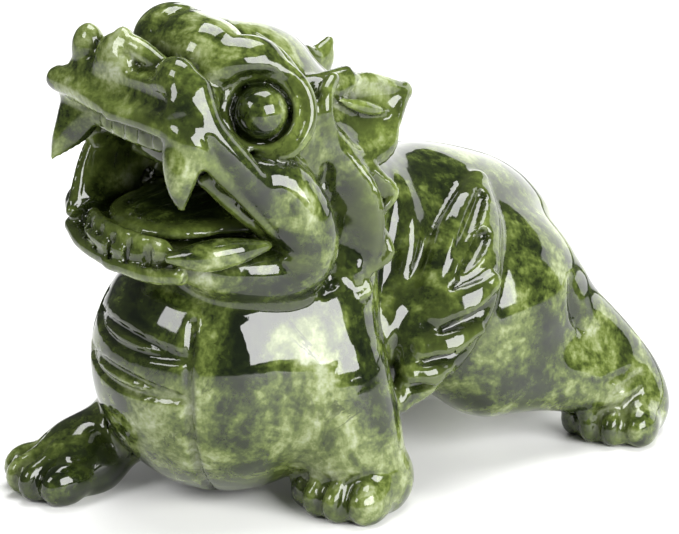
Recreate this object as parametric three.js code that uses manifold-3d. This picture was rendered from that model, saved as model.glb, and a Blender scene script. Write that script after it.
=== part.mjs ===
// Jade pixiu statue: one carved solid that stands on its four paws.
// Millimetres, +Z up. The animal faces -Y and its left side is +X.
// The body is laid on in strokes. Each stroke is an ellipsoid, a limb along a curve or a wedge,
// it is added or cut with a small fillet, and the skin of the whole is meshed at the end.

import * as THREE from 'three';
import { mergeVertices } from 'three/addons/utils/BufferGeometryUtils.js';
import Module from 'manifold-3d';

// Driving dimensions: trunk
const CHEST_CENTRE = [0, -11.5, 24.5];
const CHEST_RADII = [23, 24, 24];
const RUMP_CENTRE = [0, 36, 31];
const RUMP_RADII = [20, 24, 22];
const BACK_HALF_WIDTHS = [19, 17, 18.5];
const BACK_HALF_HEIGHTS = [17, 19.5, 20.5];
const NECK_RADII = [15, 17];
const TAIL_RADII = [5, 5, 5, 4.5, 3];

// Driving dimensions: legs and paws
const LEFT_FOREPAW = [22, -1];
const RIGHT_FOREPAW = [-18, -33.2];
const HIND_PAW = [26, 60.8];
const RIGHT_HIND_SHIFT = -3;
const FORELEG_RADII = [11.5, 11, 9.5, 8.2];
const STRIDE_LEG_RADII = [10.5, 8.5, 6.8, 6.2];
const HIND_LEG_RADII = [10, 8, 7, 6.3];
const HAUNCH_CENTRE = [16, 37, 25.5];
const HAUNCH_RADII = [12, 20, 17.2];
const PAW_RADII = [7.8, 9, 6.8];
const TOES = 4;
const TOE_PITCH = 4.1;

// Driving dimensions: head
const HEAD_PIVOT = [0, -8, 60];
const HEAD_ROLL = 5;
const SKULL_CENTRE = [0, -9, 63];
const SKULL_RADII = [18, 19.5, 17];
const MOUTH_CORNER = [0, -15.5, 49.6];
const EYE_CENTRE = [14.4, -17.3, 72.3];
const EYE_FACING = [0.74, -0.56, 0.37];
const EYE_RADIUS = 4.9;
const SOCKET_RADIUS = 6.6;
const LID_RADIUS = 7.2;
const LID_THICKNESS = 1.5;
const UPPER_TEETH = 6;
const UPPER_TOOTH_PITCH = 3.5;
const LOWER_TEETH = 7;
const LOWER_TOOTH_PITCH = 3.4;
const FANG_HALF_WIDTHS = [5.2, 4.2, 2.6, 0.5];
const EAR_HALF_WIDTHS = [8, 9, 5.8, 1.8];
const RIGHT_EAR_SHIFT = [1, 3, 3];

// Driving dimensions: chest bands and wings
const CHEST_EDGE_ANGLE = 36;
const CHEST_BAND_ANGLES = [19, 3];
const CHEST_GROOVE = 0.9;
const WING_HALF_WIDTHS = [1.8, 4, 6.8, 7, 3.4, 1];
const WING_HALF_THICKNESSES = [2.2, 3, 3.2, 3, 2.2, 1];

// Driving dimensions: mesh
const SKIN_STEP = 1.1;
const SKIN_LOW = [-40, -50, -4];
const SKIN_HIGH = [40, 76, 92];
const TRIANGLES = 9600;
const SOLE_LEVEL = 0;

// Small vector tools
const radians = (degrees) => degrees * Math.PI / 180;
const plus = (a, b) => a.map((v, i) => v + b[i]);
const minus = (a, b) => a.map((v, i) => v - b[i]);
const times = (a, k) => a.map((v) => v * k);
const dot = (a, b) => a[0] * b[0] + a[1] * b[1] + a[2] * b[2];
const unit = (a) => times(a, 1 / Math.hypot(...a));
const cross = (a, b) => [
  a[1] * b[2] - a[2] * b[1],
  a[2] * b[0] - a[0] * b[2],
  a[0] * b[1] - a[1] * b[0],
];
const pick = (value, i) => (Array.isArray(value) ? value[i] : value);

// Three rows of a turn about one axis
function turnAbout(axis, degrees) {
  const c = Math.cos(radians(degrees));
  const s = Math.sin(radians(degrees));
  if (axis === 'x') return [[1, 0, 0], [0, c, -s], [0, s, c]];
  if (axis === 'y') return [[c, 0, s], [0, 1, 0], [-s, 0, c]];
  return [[c, -s, 0], [s, c, 0], [0, 0, 1]];
}

const UPRIGHT = [[1, 0, 0], [0, 1, 0], [0, 0, 1]];
const MIRROR = [[-1, 0, 0], [0, 1, 0], [0, 0, 1]];
const apply = (rows, v) => rows.map((row) => dot(row, v));
const product = (a, b) => a.map((row) => [0, 1, 2].map((j) => dot(row, b.map((r) => r[j]))));

// A placing carries points and directions from a piece's own frame to the statue's
function placing(rows = UPRIGHT, pivot = [0, 0, 0], shift = [0, 0, 0]) {
  return {
    rows,
    point: (p) => plus(plus(apply(rows, minus(p, pivot)), pivot), shift),
    direction: (v) => apply(rows, v),
  };
}

// A smooth curve through rows of numbers, each span cut in equal steps
function curve(rows, steps) {
  const last = rows.length - 1;
  const row = (i) => {
    if (i < 0) return rows[0].map((v, k) => 2 * v - rows[1][k]);
    if (i > last) return rows[last].map((v, k) => 2 * v - rows[last - 1][k]);
    return rows[i];
  };
  const out = [];
  for (let i = 0; i < last; i += 1) {
    const [a, b, c, d] = [row(i - 1), row(i), row(i + 1), row(i + 2)];
    for (let j = 0; j < steps; j += 1) {
      const t = j / steps;
      out.push(b.map((v, k) => 0.5 * (2 * v + (c[k] - a[k]) * t
        + (2 * a[k] - 5 * v + 4 * c[k] - d[k]) * t * t
        + (3 * v - a[k] - 3 * c[k] + d[k]) * t * t * t)));
    }
  }
  out.push(rows[last]);
  return out;
}

// An ellipsoid with its radii along turned axes
function ball(place, centre, radii, turn = UPRIGHT) {
  const axes = product(place.rows, turn);
  const c = place.point(centre);
  const r = [0, 1, 2].map((i) => pick(radii, i));
  const reach = axes.map((row) => Math.hypot(row[0] * r[0], row[1] * r[1], row[2] * r[2]));
  const distance = (x, y, z) => {
    const v = [x - c[0], y - c[1], z - c[2]];
    let near = 0;
    let slope = 0;
    for (let j = 0; j < 3; j += 1) {
      const q = (axes[0][j] * v[0] + axes[1][j] * v[1] + axes[2][j] * v[2]) / r[j];
      near += q * q;
      slope += (q / r[j]) ** 2;
    }
    near = Math.sqrt(near);
    return near * (near - 1) / Math.max(Math.sqrt(slope), 1e-6);
  };
  return { low: minus(c, reach), high: plus(c, reach), distance };
}

// A limb along a curve: round, or oval with its thin side along the direction called flat
function limb(place, path, wide, thick = null, flat = null, steps = 6) {
  const rows = path.map((point, i) => {
    const row = [...place.point(point), pick(wide, i), 0, 0, 0, 0];
    if (thick !== null) {
      const side = place.direction(Array.isArray(flat[0]) ? flat[i] : flat);
      row.splice(4, 4, pick(thick, i), ...side);
    }
    return row;
  });
  const line = curve(rows, steps);
  const low = [Infinity, Infinity, Infinity];
  const high = [-Infinity, -Infinity, -Infinity];
  line.forEach((row, i) => {
    row[3] = Math.max(row[3], 0.12);
    row[4] = Math.max(row[4], 0.12);
    const reach = thick === null ? row[3] : Math.max(row[3], row[4]);
    for (let k = 0; k < 3; k += 1) {
      low[k] = Math.min(low[k], row[k] - reach);
      high[k] = Math.max(high[k], row[k] + reach);
    }
    if (thick !== null) {
      const before = line[Math.max(i - 1, 0)];
      const after = line[Math.min(i + 1, line.length - 1)];
      const along = unit([after[0] - before[0], after[1] - before[1], after[2] - before[2]]);
      const side = row.slice(5, 8);
      row.splice(5, 3, ...unit(minus(side, times(along, dot(side, along)))));
    }
  });
  const spans = line.slice(1).map((end, i) => {
    const step = minus(end.slice(0, 3), line[i].slice(0, 3));
    return { start: line[i], end, step, inverse: 1 / Math.max(dot(step, step), 1e-9) };
  });
  const distance = (x, y, z) => {
    let best = Infinity;
    let span = spans[0];
    let t = 0;
    for (const next of spans) {
      const [sx, sy, sz] = next.step;
      const vx = x - next.start[0];
      const vy = y - next.start[1];
      const vz = z - next.start[2];
      const s = Math.min(1, Math.max(0, (vx * sx + vy * sy + vz * sz) * next.inverse));
      const d = (vx - s * sx) ** 2 + (vy - s * sy) ** 2 + (vz - s * sz) ** 2;
      if (d < best) {
        best = d;
        span = next;
        t = s;
      }
    }
    const between = (k) => span.start[k] * (1 - t) + span.end[k] * t;
    const w = between(3);
    if (thick === null) return Math.sqrt(best) - w;
    const h = between(4);
    const n = [between(5), between(6), between(7)];
    const v = [x - between(0), y - between(1), z - between(2)];
    const across = dot(v, n) ** 2 / dot(n, n);
    const around = Math.max(best - across, 0);
    const near = Math.sqrt(around / w ** 2 + across / h ** 2);
    const slope = Math.sqrt(around / w ** 4 + across / h ** 4);
    return near * (near - 1) / Math.max(slope, 1e-6);
  };
  return { low, high, distance };
}

// The space in front of an edge, between an upper plane and a lower plane
function wedge(place, corner, upper, lower, soft, size) {
  const c = place.point(corner);
  const up = unit(place.direction(upper));
  const down = unit(place.direction(lower));
  const distance = (x, y, z) => {
    const v = [x - c[0], y - c[1], z - c[2]];
    const a = dot(v, up);
    const b = dot(v, down);
    const h = Math.max(soft - Math.abs(a - b), 0) / soft;
    return Math.max(a, b) + h * h * soft / 4;
  };
  return { low: minus(c, size), high: plus(c, [size[0], size[1] * 0.1, size[2]]), distance };
}

// The strokes in the order they are made
const strokes = [];
const add = (form, blend) => strokes.push({ form, blend, sign: 1 });
const cut = (form, blend) => strokes.push({ form, blend, sign: -1 });
const STANDING = placing();

// Chest, back, rump and neck
function carveTrunk() {
  add(ball(STANDING, CHEST_CENTRE, CHEST_RADII), 1);
  const spine = [[0, -2, 35], [0, 12, 36.5], [0, 28, 34]];
  add(limb(STANDING, spine, BACK_HALF_WIDTHS, BACK_HALF_HEIGHTS, [0, 0, 1]), 8);
  add(ball(STANDING, RUMP_CENTRE, RUMP_RADII), 6);
  add(limb(STANDING, [[0, -5, 56], [0, 5, 42]], NECK_RADII), 8);
}

// One paw with its toes, turned a little outward
function carvePaw([x, y], outward, mirrored) {
  const turn = turnAbout('z', outward);
  const place = placing(mirrored ? product(MIRROR, turn) : turn, [0, 0, 0], [x, y, 0]);
  add(ball(place, [0, 0.8, 4.4], PAW_RADII), 3);
  for (let i = 0; i < TOES; i += 1) {
    const t = i - (TOES - 1) / 2;
    const front = Math.abs(t) < 1 ? -7.6 : -5.6;
    const toe = [
      [t * TOE_PITCH * 0.78, front + 5, 6.4],
      [t * TOE_PITCH, front, 4.9],
      [t * TOE_PITCH * 1.05, front - 1.6, 2.6],
    ];
    add(limb(place, toe, [2.4, 2.8, 2.1]), 0.8);
  }
}

// Four legs: the right foreleg strides out, the hind legs are crouched
function carveLegs() {
  const straight = [[13, -4, 31], [17, -4.5, 24], [20.5, -2.5, 13], [22, -1, 7]];
  add(limb(STANDING, straight, FORELEG_RADII), 5);
  carvePaw(LEFT_FOREPAW, 8, false);
  const stride = [[-13, -6, 27], [-17.5, -13, 15.5], [-18, -22, 8.6], [-18, -30, 6.3]];
  add(limb(STANDING, stride, STRIDE_LEG_RADII), 5);
  carvePaw(RIGHT_FOREPAW, 6, true);
  for (const mirrored of [false, true]) {
    const dy = mirrored ? RIGHT_HIND_SHIFT : 0;
    const place = placing(mirrored ? MIRROR : UPRIGHT, [0, 0, 0], [0, dy, 0]);
    add(ball(place, HAUNCH_CENTRE, HAUNCH_RADII, turnAbout('x', 10)), 5);
    const shank = [[18, 50, 24], [22, 58.5, 17], [25.5, 63, 9], [26, 62, 5.5]];
    add(limb(place, shank, HIND_LEG_RADII), 3.5);
    carvePaw([(mirrored ? -1 : 1) * HIND_PAW[0], HIND_PAW[1] + dy], 18, mirrored);
  }
}

// The tail lies down over the rump
function carveTail() {
  const path = [[1, 53, 43], [4, 60, 35], [6, 64, 26.5], [5.5, 61, 16], [4, 56, 9]];
  add(limb(STANDING, path, TAIL_RADII), 2.5);
}

// Placing of the head, one side at a time
function headPlace(mirrored = false, shift = [0, 0, 0]) {
  const roll = turnAbout('y', HEAD_ROLL);
  return placing(mirrored ? product(roll, MIRROR) : roll, HEAD_PIVOT, shift);
}

const HEAD = headPlace();
const SIDES = [headPlace(false), headPlace(true)];

// Skull, snout, jaw, cheeks and the open mouth
function carveSkull() {
  add(ball(HEAD, SKULL_CENTRE, SKULL_RADII), 6);
  const snout = [[0, -18, 72.5], [0, -27, 73.5], [0, -34.5, 75]];
  add(limb(HEAD, snout, [14.5, 13.5, 12.5], [8, 6, 4.6], [0, 0, 1]), 4);
  const jaw = [[0, -8, 45.5], [0, -22, 46], [0, -31.5, 48.5]];
  add(limb(HEAD, jaw, [18, 16.5, 12.5], [8, 6.8, 4.4], [0, 0, 1]), 4);
  for (const side of SIDES) {
    const cheek = [[16, -26, 63.5], [19, -16, 60.5], [20.5, -11, 52], [18.5, -13, 45.5],
      [15, -22, 44.8], [11, -29.5, 47.2]];
    add(limb(side, cheek, [3, 5, 6.5, 6, 5, 4]), 2.5);
    const fold = [[12.5, -32, 77.5], [15.5, -29.5, 72], [19, -22.5, 63.5], [21, -16.5, 55]];
    add(limb(side, fold, [3.2, 3, 2.8, 2.2]), 1.5);
  }
  cut(wedge(HEAD, MOUTH_CORNER, [0, 0.715, 0.7], [0, 0.02, -1], 2, [34, 40, 34]), 1);
  cut(ball(HEAD, [0, -19, 56.5], [14, 10, 6.5]), 2);
}

// Lips, tongue, teeth and fangs
function carveMouth() {
  for (const side of SIDES) {
    const upper = [[20.8, -16, 51], [20.2, -22, 58.5], [18.6, -29, 66], [16.8, -35.8, 70.6],
      [8.5, -37.6, 71], [-0.5, -38.2, 71]];
    add(limb(side, upper, [1.6, 1.8, 1.9, 2.2, 1.9, 1.8]), 1);
    const lower = [[20.8, -15, 49], [18.6, -23, 48.5], [15, -30, 50.2], [8, -34, 51],
      [-0.5, -35, 51.2]];
    add(limb(side, lower, [2, 2.2, 2.3, 2.2, 2.2]), 1.2);
  }
  const tongue = [[0, -12, 50.5], [0, -23, 53], [-0.5, -31, 55.6]];
  add(limb(HEAD, tongue, [9, 9.5, 6], [3, 2, 1.5], [0, 0.25, 1]), 0.8);
  cut(limb(HEAD, [[0, -16, 53.8], [0, -24, 55.1], [-0.5, -32, 57]], [0.8, 0.9, 0.8]), 0.8);
  for (let i = 0; i < UPPER_TEETH; i += 1) {
    const x = (i - (UPPER_TEETH - 1) / 2) * UPPER_TOOTH_PITCH;
    const y = -36.8 + 0.02 * x * x;
    add(limb(HEAD, [[x, y, 70], [x, y + 0.3, 66]], [1.75, 1.4], [1.3, 0.9], [0, 1, 0]), 0.4);
  }
  for (let i = 0; i < LOWER_TEETH; i += 1) {
    const x = (i - (LOWER_TEETH - 1) / 2) * LOWER_TOOTH_PITCH;
    const y = -32.6 + 0.02 * x * x;
    add(limb(HEAD, [[x, y, 50.5], [x, y - 0.2, 54]], [1.6, 1.45], [1.2, 1], [0, 1, 0]), 0.4);
  }
  for (const side of SIDES) {
    const fang = [[13.4, -33, 70.5], [14.2, -34.6, 66], [15, -34.4, 62], [15, -32.4, 58.6]];
    add(limb(side, fang, FANG_HALF_WIDTHS, [2.8, 2.4, 1.8, 0.5], [0.9, 1, 0.2]), 0.7);
    const lower = [[12.6, -31.6, 50], [13, -32.4, 54], [13.2, -32, 56.5]];
    add(limb(side, lower, [2, 1.6, 0.4]), 0.6);
  }
}

// Nose lobes, eyes, brows and the crest along the top of the head
function carveFace() {
  const lobe = [[0, -35, 76.5], [0, -34.4, 80], [0, -32.6, 84]];
  add(limb(HEAD, lobe, [4.6, 4.4, 2], [3.2, 2.6, 1.4], [0, 1, 0.3]), 0.8);
  const out = unit(EYE_FACING);
  const up = unit(minus([0, 0, 1], times(out, out[2])));
  const across = cross(up, out);
  const socket = [across, up, out];
  const socketTurn = [0, 1, 2].map((i) => socket.map((axis) => axis[i]));
  const ring = [];
  for (let i = 0; i <= 24; i += 1) {
    const a = i * Math.PI / 12;
    const spoke = plus(times(across, Math.cos(a) * LID_RADIUS), times(up, Math.sin(a) * LID_RADIUS));
    ring.push(plus(plus(EYE_CENTRE, times(out, 1.6)), spoke));
  }
  for (const side of SIDES) {
    const wing = [[8, -34.6, 76], [8.6, -34, 79.5], [9, -32.4, 83.2]];
    add(limb(side, wing, [3.6, 3.4, 1.4], [3, 2.4, 1.2], [0.3, 1, 0.3]), 0.8);
    const nostril = [[3, -37.4, 75.4], [6, -37.4, 74.6], [9, -36.6, 75.2]];
    cut(limb(side, nostril, [0.8, 1.1, 0.8]), 0.8);
    const bowl = plus(EYE_CENTRE, times(out, 3.2));
    cut(ball(side, bowl, [SOCKET_RADIUS, SOCKET_RADIUS, 4.2], socketTurn), 1);
    add(limb(side, ring, LID_THICKNESS, null, null, 2), 1);
    add(ball(side, plus(EYE_CENTRE, times(out, 0.3)), EYE_RADIUS), 0.3);
    const brow = [[7.5, -26, 77], [9, -21.5, 79.6], [13, -15, 79.5], [16.8, -10, 75.5],
      [18.6, -8, 69], [18.6, -7.5, 63]];
    add(limb(side, brow, [2.6, 4, 3.8, 3.4, 2.6, 1.6]), 1.3);
  }
  const crest = [[0, -24.5, 79], [0, -14, 80], [0, -5, 76.4], [0, 6, 69.5], [0, 10, 63]];
  add(limb(HEAD, crest, [4, 4.7, 4.5, 4, 3]), 2);
}

// Swept ears with a hollow, and the pointed mane behind each cheek
function carveEarsAndMane() {
  for (const mirrored of [false, true]) {
    const side = headPlace(mirrored, mirrored ? RIGHT_EAR_SHIFT : [0, 0, 0]);
    const ear = [[15, -4, 69], [15.8, 4, 68.6], [15, 9.5, 70], [14, 15, 71]];
    add(limb(side, ear, EAR_HALF_WIDTHS, [3, 2.5, 2, 1.4], [0.9, -0.1, 0.4]), 1.2);
    const hollow = [[17.2, -2, 70], [18.3, 3.5, 69.4], [17.2, 8.5, 70.4], [16, 13, 71.4]];
    cut(limb(side, hollow, [2, 6, 4, 0.8], [1.2, 2, 1.5, 0.5], [0.9, -0.1, 0.4]), 0.6);
  }
  const locks = [
    { root: [15, -7, 60], tip: [23.2, 8.4, 56], half: 7 },
    { root: [17, -8, 51], tip: [25.3, 6, 46.7], half: 7 },
    { root: [16, -8.5, 43.5], tip: [24.4, 3.4, 39.5], half: 6 },
  ];
  const flat = [0.6, -0.75, 0.1];
  for (const side of SIDES) {
    const plate = [[15.5, -6, 62], [19, -1.8, 53], [18.5, -4, 43]];
    add(limb(side, plate, [6, 7, 6], [2.4, 2, 2], flat), 1.5);
    for (const { root, tip, half } of locks) {
      const middle = plus(plus(times(root, 0.4), times(tip, 0.6)), [0.8, -0.8, 1]);
      add(limb(side, [root, middle, tip], [half, half * 0.8, 0.5], [3, 1.8, 0.7], flat), 1);
    }
  }
}

// A folded wing on each flank: one long leaf and three short feathers
function carveWings() {
  const feathers = [
    { root: [26.6, 15, 32], tip: [26.3, 28.5, 33.5], half: 4.4 },
    { root: [27.4, 10.5, 26], tip: [27.4, 22, 26.4], half: 3.8 },
    { root: [27.4, 7, 21.6], tip: [27.8, 14.8, 21.8], half: 3.2 },
  ];
  const leaf = [[26.5, 3.6, 18], [27, 6, 25.5], [26, 14, 36], [21.5, 26.5, 44.8], [17, 33.5, 50],
    [15, 36, 52.3]];
  const leafFlat = [[1, -0.3, 0.1], [1, -0.3, 0.15], [0.95, -0.3, 0.3], [0.8, -0.3, 0.5],
    [0.7, -0.3, 0.6], [0.7, -0.3, 0.6]];
  for (const side of [STANDING, placing(MIRROR)]) {
    add(limb(side, leaf, WING_HALF_WIDTHS, WING_HALF_THICKNESSES, leafFlat), 0.8);
    for (const { root, tip, half } of feathers) {
      const middle = plus(plus(times(root, 0.45), times(tip, 0.55)), [0.7, 0, -0.4]);
      const widths = [half * 0.8, half, 1.2];
      add(limb(side, [root, middle, tip], widths, [2, 2.2, 1], [1, -0.3, 0.2]), 0.5);
    }
  }
}

// Grooves that mark the chest plate and its cross bands
function carveChestBands() {
  const onChest = (around, above) => {
    const a = radians(around);
    const e = radians(above);
    const way = [Math.sin(a) * Math.cos(e), -Math.cos(a) * Math.cos(e), Math.sin(e)];
    return plus(CHEST_CENTRE, way.map((v, i) => v * (CHEST_RADII[i] + 0.3)));
  };
  for (const sign of [1, -1]) {
    const edge = [];
    for (let i = 0; i < 12; i += 1) edge.push(onChest(sign * CHEST_EDGE_ANGLE, 30 - 100 * i / 11));
    cut(limb(STANDING, edge, CHEST_GROOVE, null, null, 3), 0.8);
  }
  for (const above of CHEST_BAND_ANGLES) {
    const band = [];
    for (let i = 0; i < 9; i += 1) {
      const s = i / 4 - 1;
      band.push(onChest(s * (CHEST_EDGE_ANGLE - 2), above + 3 * s ** 4));
    }
    cut(limb(STANDING, band, CHEST_GROOVE, null, null, 3), 0.7);
  }
}

// Distance to the skin on a regular grid, stroke after stroke
function measure() {
  const counts = SKIN_LOW.map((v, i) => Math.round((SKIN_HIGH[i] - v) / SKIN_STEP) + 1);
  const [nx, ny, nz] = counts;
  const field = new Float32Array(nx * ny * nz).fill(50);
  for (const { form, blend, sign } of strokes) {
    const margin = blend + 2;
    const first = form.low.map((v, i) => Math.max(0, Math.ceil((v - margin - SKIN_LOW[i]) / SKIN_STEP)));
    const last = form.high.map((v, i) => (
      Math.min(counts[i] - 1, Math.floor((v + margin - SKIN_LOW[i]) / SKIN_STEP))));
    for (let i = first[0]; i <= last[0]; i += 1) {
      for (let j = first[1]; j <= last[1]; j += 1) {
        for (let k = first[2]; k <= last[2]; k += 1) {
          const at = (i * ny + j) * nz + k;
          const e = form.distance(
            SKIN_LOW[0] + i * SKIN_STEP,
            SKIN_LOW[1] + j * SKIN_STEP,
            SKIN_LOW[2] + k * SKIN_STEP,
          );
          const d = sign * field[at];
          const h = Math.max(blend - Math.abs(d - e), 0) / blend;
          field[at] = sign * (Math.min(d, e) - h * h * blend / 4);
        }
      }
    }
  }
  return { field, counts };
}

// Edges and faces of a grid cell; corner number is x + 2y + 4z
const CELL_EDGES = [[0, 1], [2, 3], [4, 5], [6, 7], [0, 2], [1, 3], [4, 6], [5, 7],
  [0, 4], [1, 5], [2, 6], [3, 7]];
const CELL_FACES = [[0, 2, 6, 4], [1, 3, 7, 5], [0, 1, 5, 4], [2, 3, 7, 6], [0, 1, 3, 2],
  [4, 5, 7, 6]];

// For each pattern of inside corners: the patch of skin that each cut edge belongs to
function patchTable() {
  const edgeOf = new Map(CELL_EDGES.map(([a, b], i) => [a * 8 + b, i]));
  const table = [];
  for (let pattern = 0; pattern < 256; pattern += 1) {
    const inside = (c) => (pattern >> c) & 1;
    const group = CELL_EDGES.map(([a, b], i) => (inside(a) !== inside(b) ? i : -1));
    const join = (p, q) => {
      const [from, to] = [group[p], group[q]];
      group.forEach((g, i) => {
        if (g === from) group[i] = to;
      });
    };
    for (const face of CELL_FACES) {
      const around = face.map((c, i) => {
        const d = face[(i + 1) % 4];
        return edgeOf.get(Math.min(c, d) * 8 + Math.max(c, d));
      });
      const open = around.filter((e) => group[e] >= 0);
      if (open.length === 2) join(open[0], open[1]);
      if (open.length === 4) {
        face.forEach((c, i) => {
          if (inside(c)) join(around[(i + 3) % 4], around[i]);
        });
      }
    }
    const names = [...new Set(group.filter((g) => g >= 0))];
    const crossed = CELL_FACES.map((face) => face.every((c, i) => inside(c) !== inside(face[(i + 1) % 4])));
    const single = crossed.filter((is) => is).length === 1 && names.length === 1;
    table.push({
      patch: group.map((g) => names.indexOf(g)),
      count: names.length,
      pinched: single ? crossed.indexOf(true) : -1,
    });
  }
  return table;
}

// The skin as triangles: one vertex for each patch in a cell, one quad for each cut grid edge.
// Two cells that would pinch the skin at their common face take the opposite pattern.
function skin({ field, counts }) {
  const [nx, ny, nz] = counts;
  const table = patchTable();
  const stride = [ny * nz, nz, 1];
  const at = (i, j, k) => i * stride[0] + j * stride[1] + k;
  const offset = [...Array(8).keys()].map((c) => at(c & 1, (c >> 1) & 1, c >> 2));
  const pattern = new Uint8Array(nx * ny * nz);
  const first = new Int32Array(nx * ny * nz);
  const cells = [];
  for (let i = 0; i < nx - 1; i += 1) {
    for (let j = 0; j < ny - 1; j += 1) {
      for (let k = 0; k < nz - 1; k += 1) {
        const here = at(i, j, k);
        let bits = 0;
        for (let c = 0; c < 8; c += 1) if (field[here + offset[c]] < 0) bits |= 1 << c;
        pattern[here] = bits;
        if (bits > 0 && bits < 255) cells.push([here, i, j, k]);
      }
    }
  }
  const turned = cells.map(([here]) => {
    const face = table[pattern[here]].pinched;
    if (face < 0) return false;
    const next = here + (face % 2 === 1 ? 1 : -1) * stride[face >> 1];
    return table[pattern[next]].pinched === (face ^ 1);
  });
  cells.forEach(([here], n) => {
    if (turned[n]) pattern[here] = 255 - pattern[here];
  });
  const points = [];
  for (const [here, i, j, k] of cells) {
    first[here] = points.length;
    const { patch, count } = table[pattern[here]];
    const sums = [...Array(count)].map(() => [0, 0, 0, 0]);
    for (let e = 0; e < 12; e += 1) {
      if (patch[e] < 0) continue;
      const [a, b] = CELL_EDGES[e];
      const da = field[here + offset[a]];
      const t = da / (da - field[here + offset[b]]);
      const sum = sums[patch[e]];
      sum[0] += i + (a & 1) * (1 - t) + (b & 1) * t;
      sum[1] += j + ((a >> 1) & 1) * (1 - t) + ((b >> 1) & 1) * t;
      sum[2] += k + (a >> 2) * (1 - t) + (b >> 2) * t;
      sum[3] += 1;
    }
    for (const s of sums) {
      points.push([0, 1, 2].map((n) => SKIN_LOW[n] + SKIN_STEP * s[n] / s[3]));
    }
  }
  const triangles = [];
  const corner = [1, 2, 4];
  for (let axis = 0; axis < 3; axis += 1) {
    const u = (axis + 1) % 3;
    const v = (axis + 2) % 3;
    const edge = (c) => CELL_EDGES.findIndex(([a, b]) => a === c && b === c + corner[axis]);
    const ring = [[1, 1], [0, 1], [0, 0], [1, 0]].map(([du, dv]) => ({
      shift: -du * stride[u] - dv * stride[v],
      edge: edge(du * corner[u] + dv * corner[v]),
    }));
    const limit = (n) => [n === axis ? 0 : 1, counts[n] - 1];
    const [[i0, i1], [j0, j1], [k0, k1]] = [limit(0), limit(1), limit(2)];
    for (let i = i0; i < i1; i += 1) {
      for (let j = j0; j < j1; j += 1) {
        for (let k = k0; k < k1; k += 1) {
          const here = at(i, j, k);
          const inside = field[here] < 0;
          if (inside === (field[here + stride[axis]] < 0)) continue;
          const quad = ring.map((r) => {
            const cell = here + r.shift;
            return first[cell] + table[pattern[cell]].patch[r.edge];
          });
          if (!inside) quad.reverse();
          triangles.push([quad[0], quad[1], quad[2]], [quad[0], quad[2], quad[3]]);
        }
      }
    }
  }
  return { points, triangles };
}

// The outer skin alone: small closed pockets inside the stone are left out
function outerSkin({ points, triangles }) {
  const parent = points.map((_, i) => i);
  const root = (v) => {
    let top = v;
    while (parent[top] !== top) top = parent[top];
    let next = v;
    while (parent[next] !== top) [parent[next], next] = [top, parent[next]];
    return top;
  };
  for (const [i, j, k] of triangles) {
    parent[root(i)] = root(j);
    parent[root(j)] = root(k);
  }
  const sizes = new Map();
  for (const [i] of triangles) sizes.set(root(i), (sizes.get(root(i)) ?? 0) + 1);
  const largest = [...sizes].sort((one, two) => two[1] - one[1])[0][0];
  return { points, triangles: triangles.filter(([i]) => root(i) === largest) };
}

// A heap that gives the cheapest collapse first
class Heap {
  constructor() {
    this.items = [];
  }

  push(item) {
    const { items } = this;
    let i = items.push(item) - 1;
    while (i > 0) {
      const parent = (i - 1) >> 1;
      if (items[parent].cost <= item.cost) break;
      items[i] = items[parent];
      i = parent;
    }
    items[i] = item;
  }

  pop() {
    const { items } = this;
    const top = items[0];
    const item = items.pop();
    if (items.length === 0) return top;
    let i = 0;
    for (;;) {
      let child = 2 * i + 1;
      if (child >= items.length) break;
      if (child + 1 < items.length && items[child + 1].cost < items[child].cost) child += 1;
      if (items[child].cost >= item.cost) break;
      items[i] = items[child];
      i = child;
    }
    items[i] = item;
    return top;
  }
}

// Twice the area vector of a triangle
const areaVector = (a, b, c) => cross(minus(b, a), minus(c, a));

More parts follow.
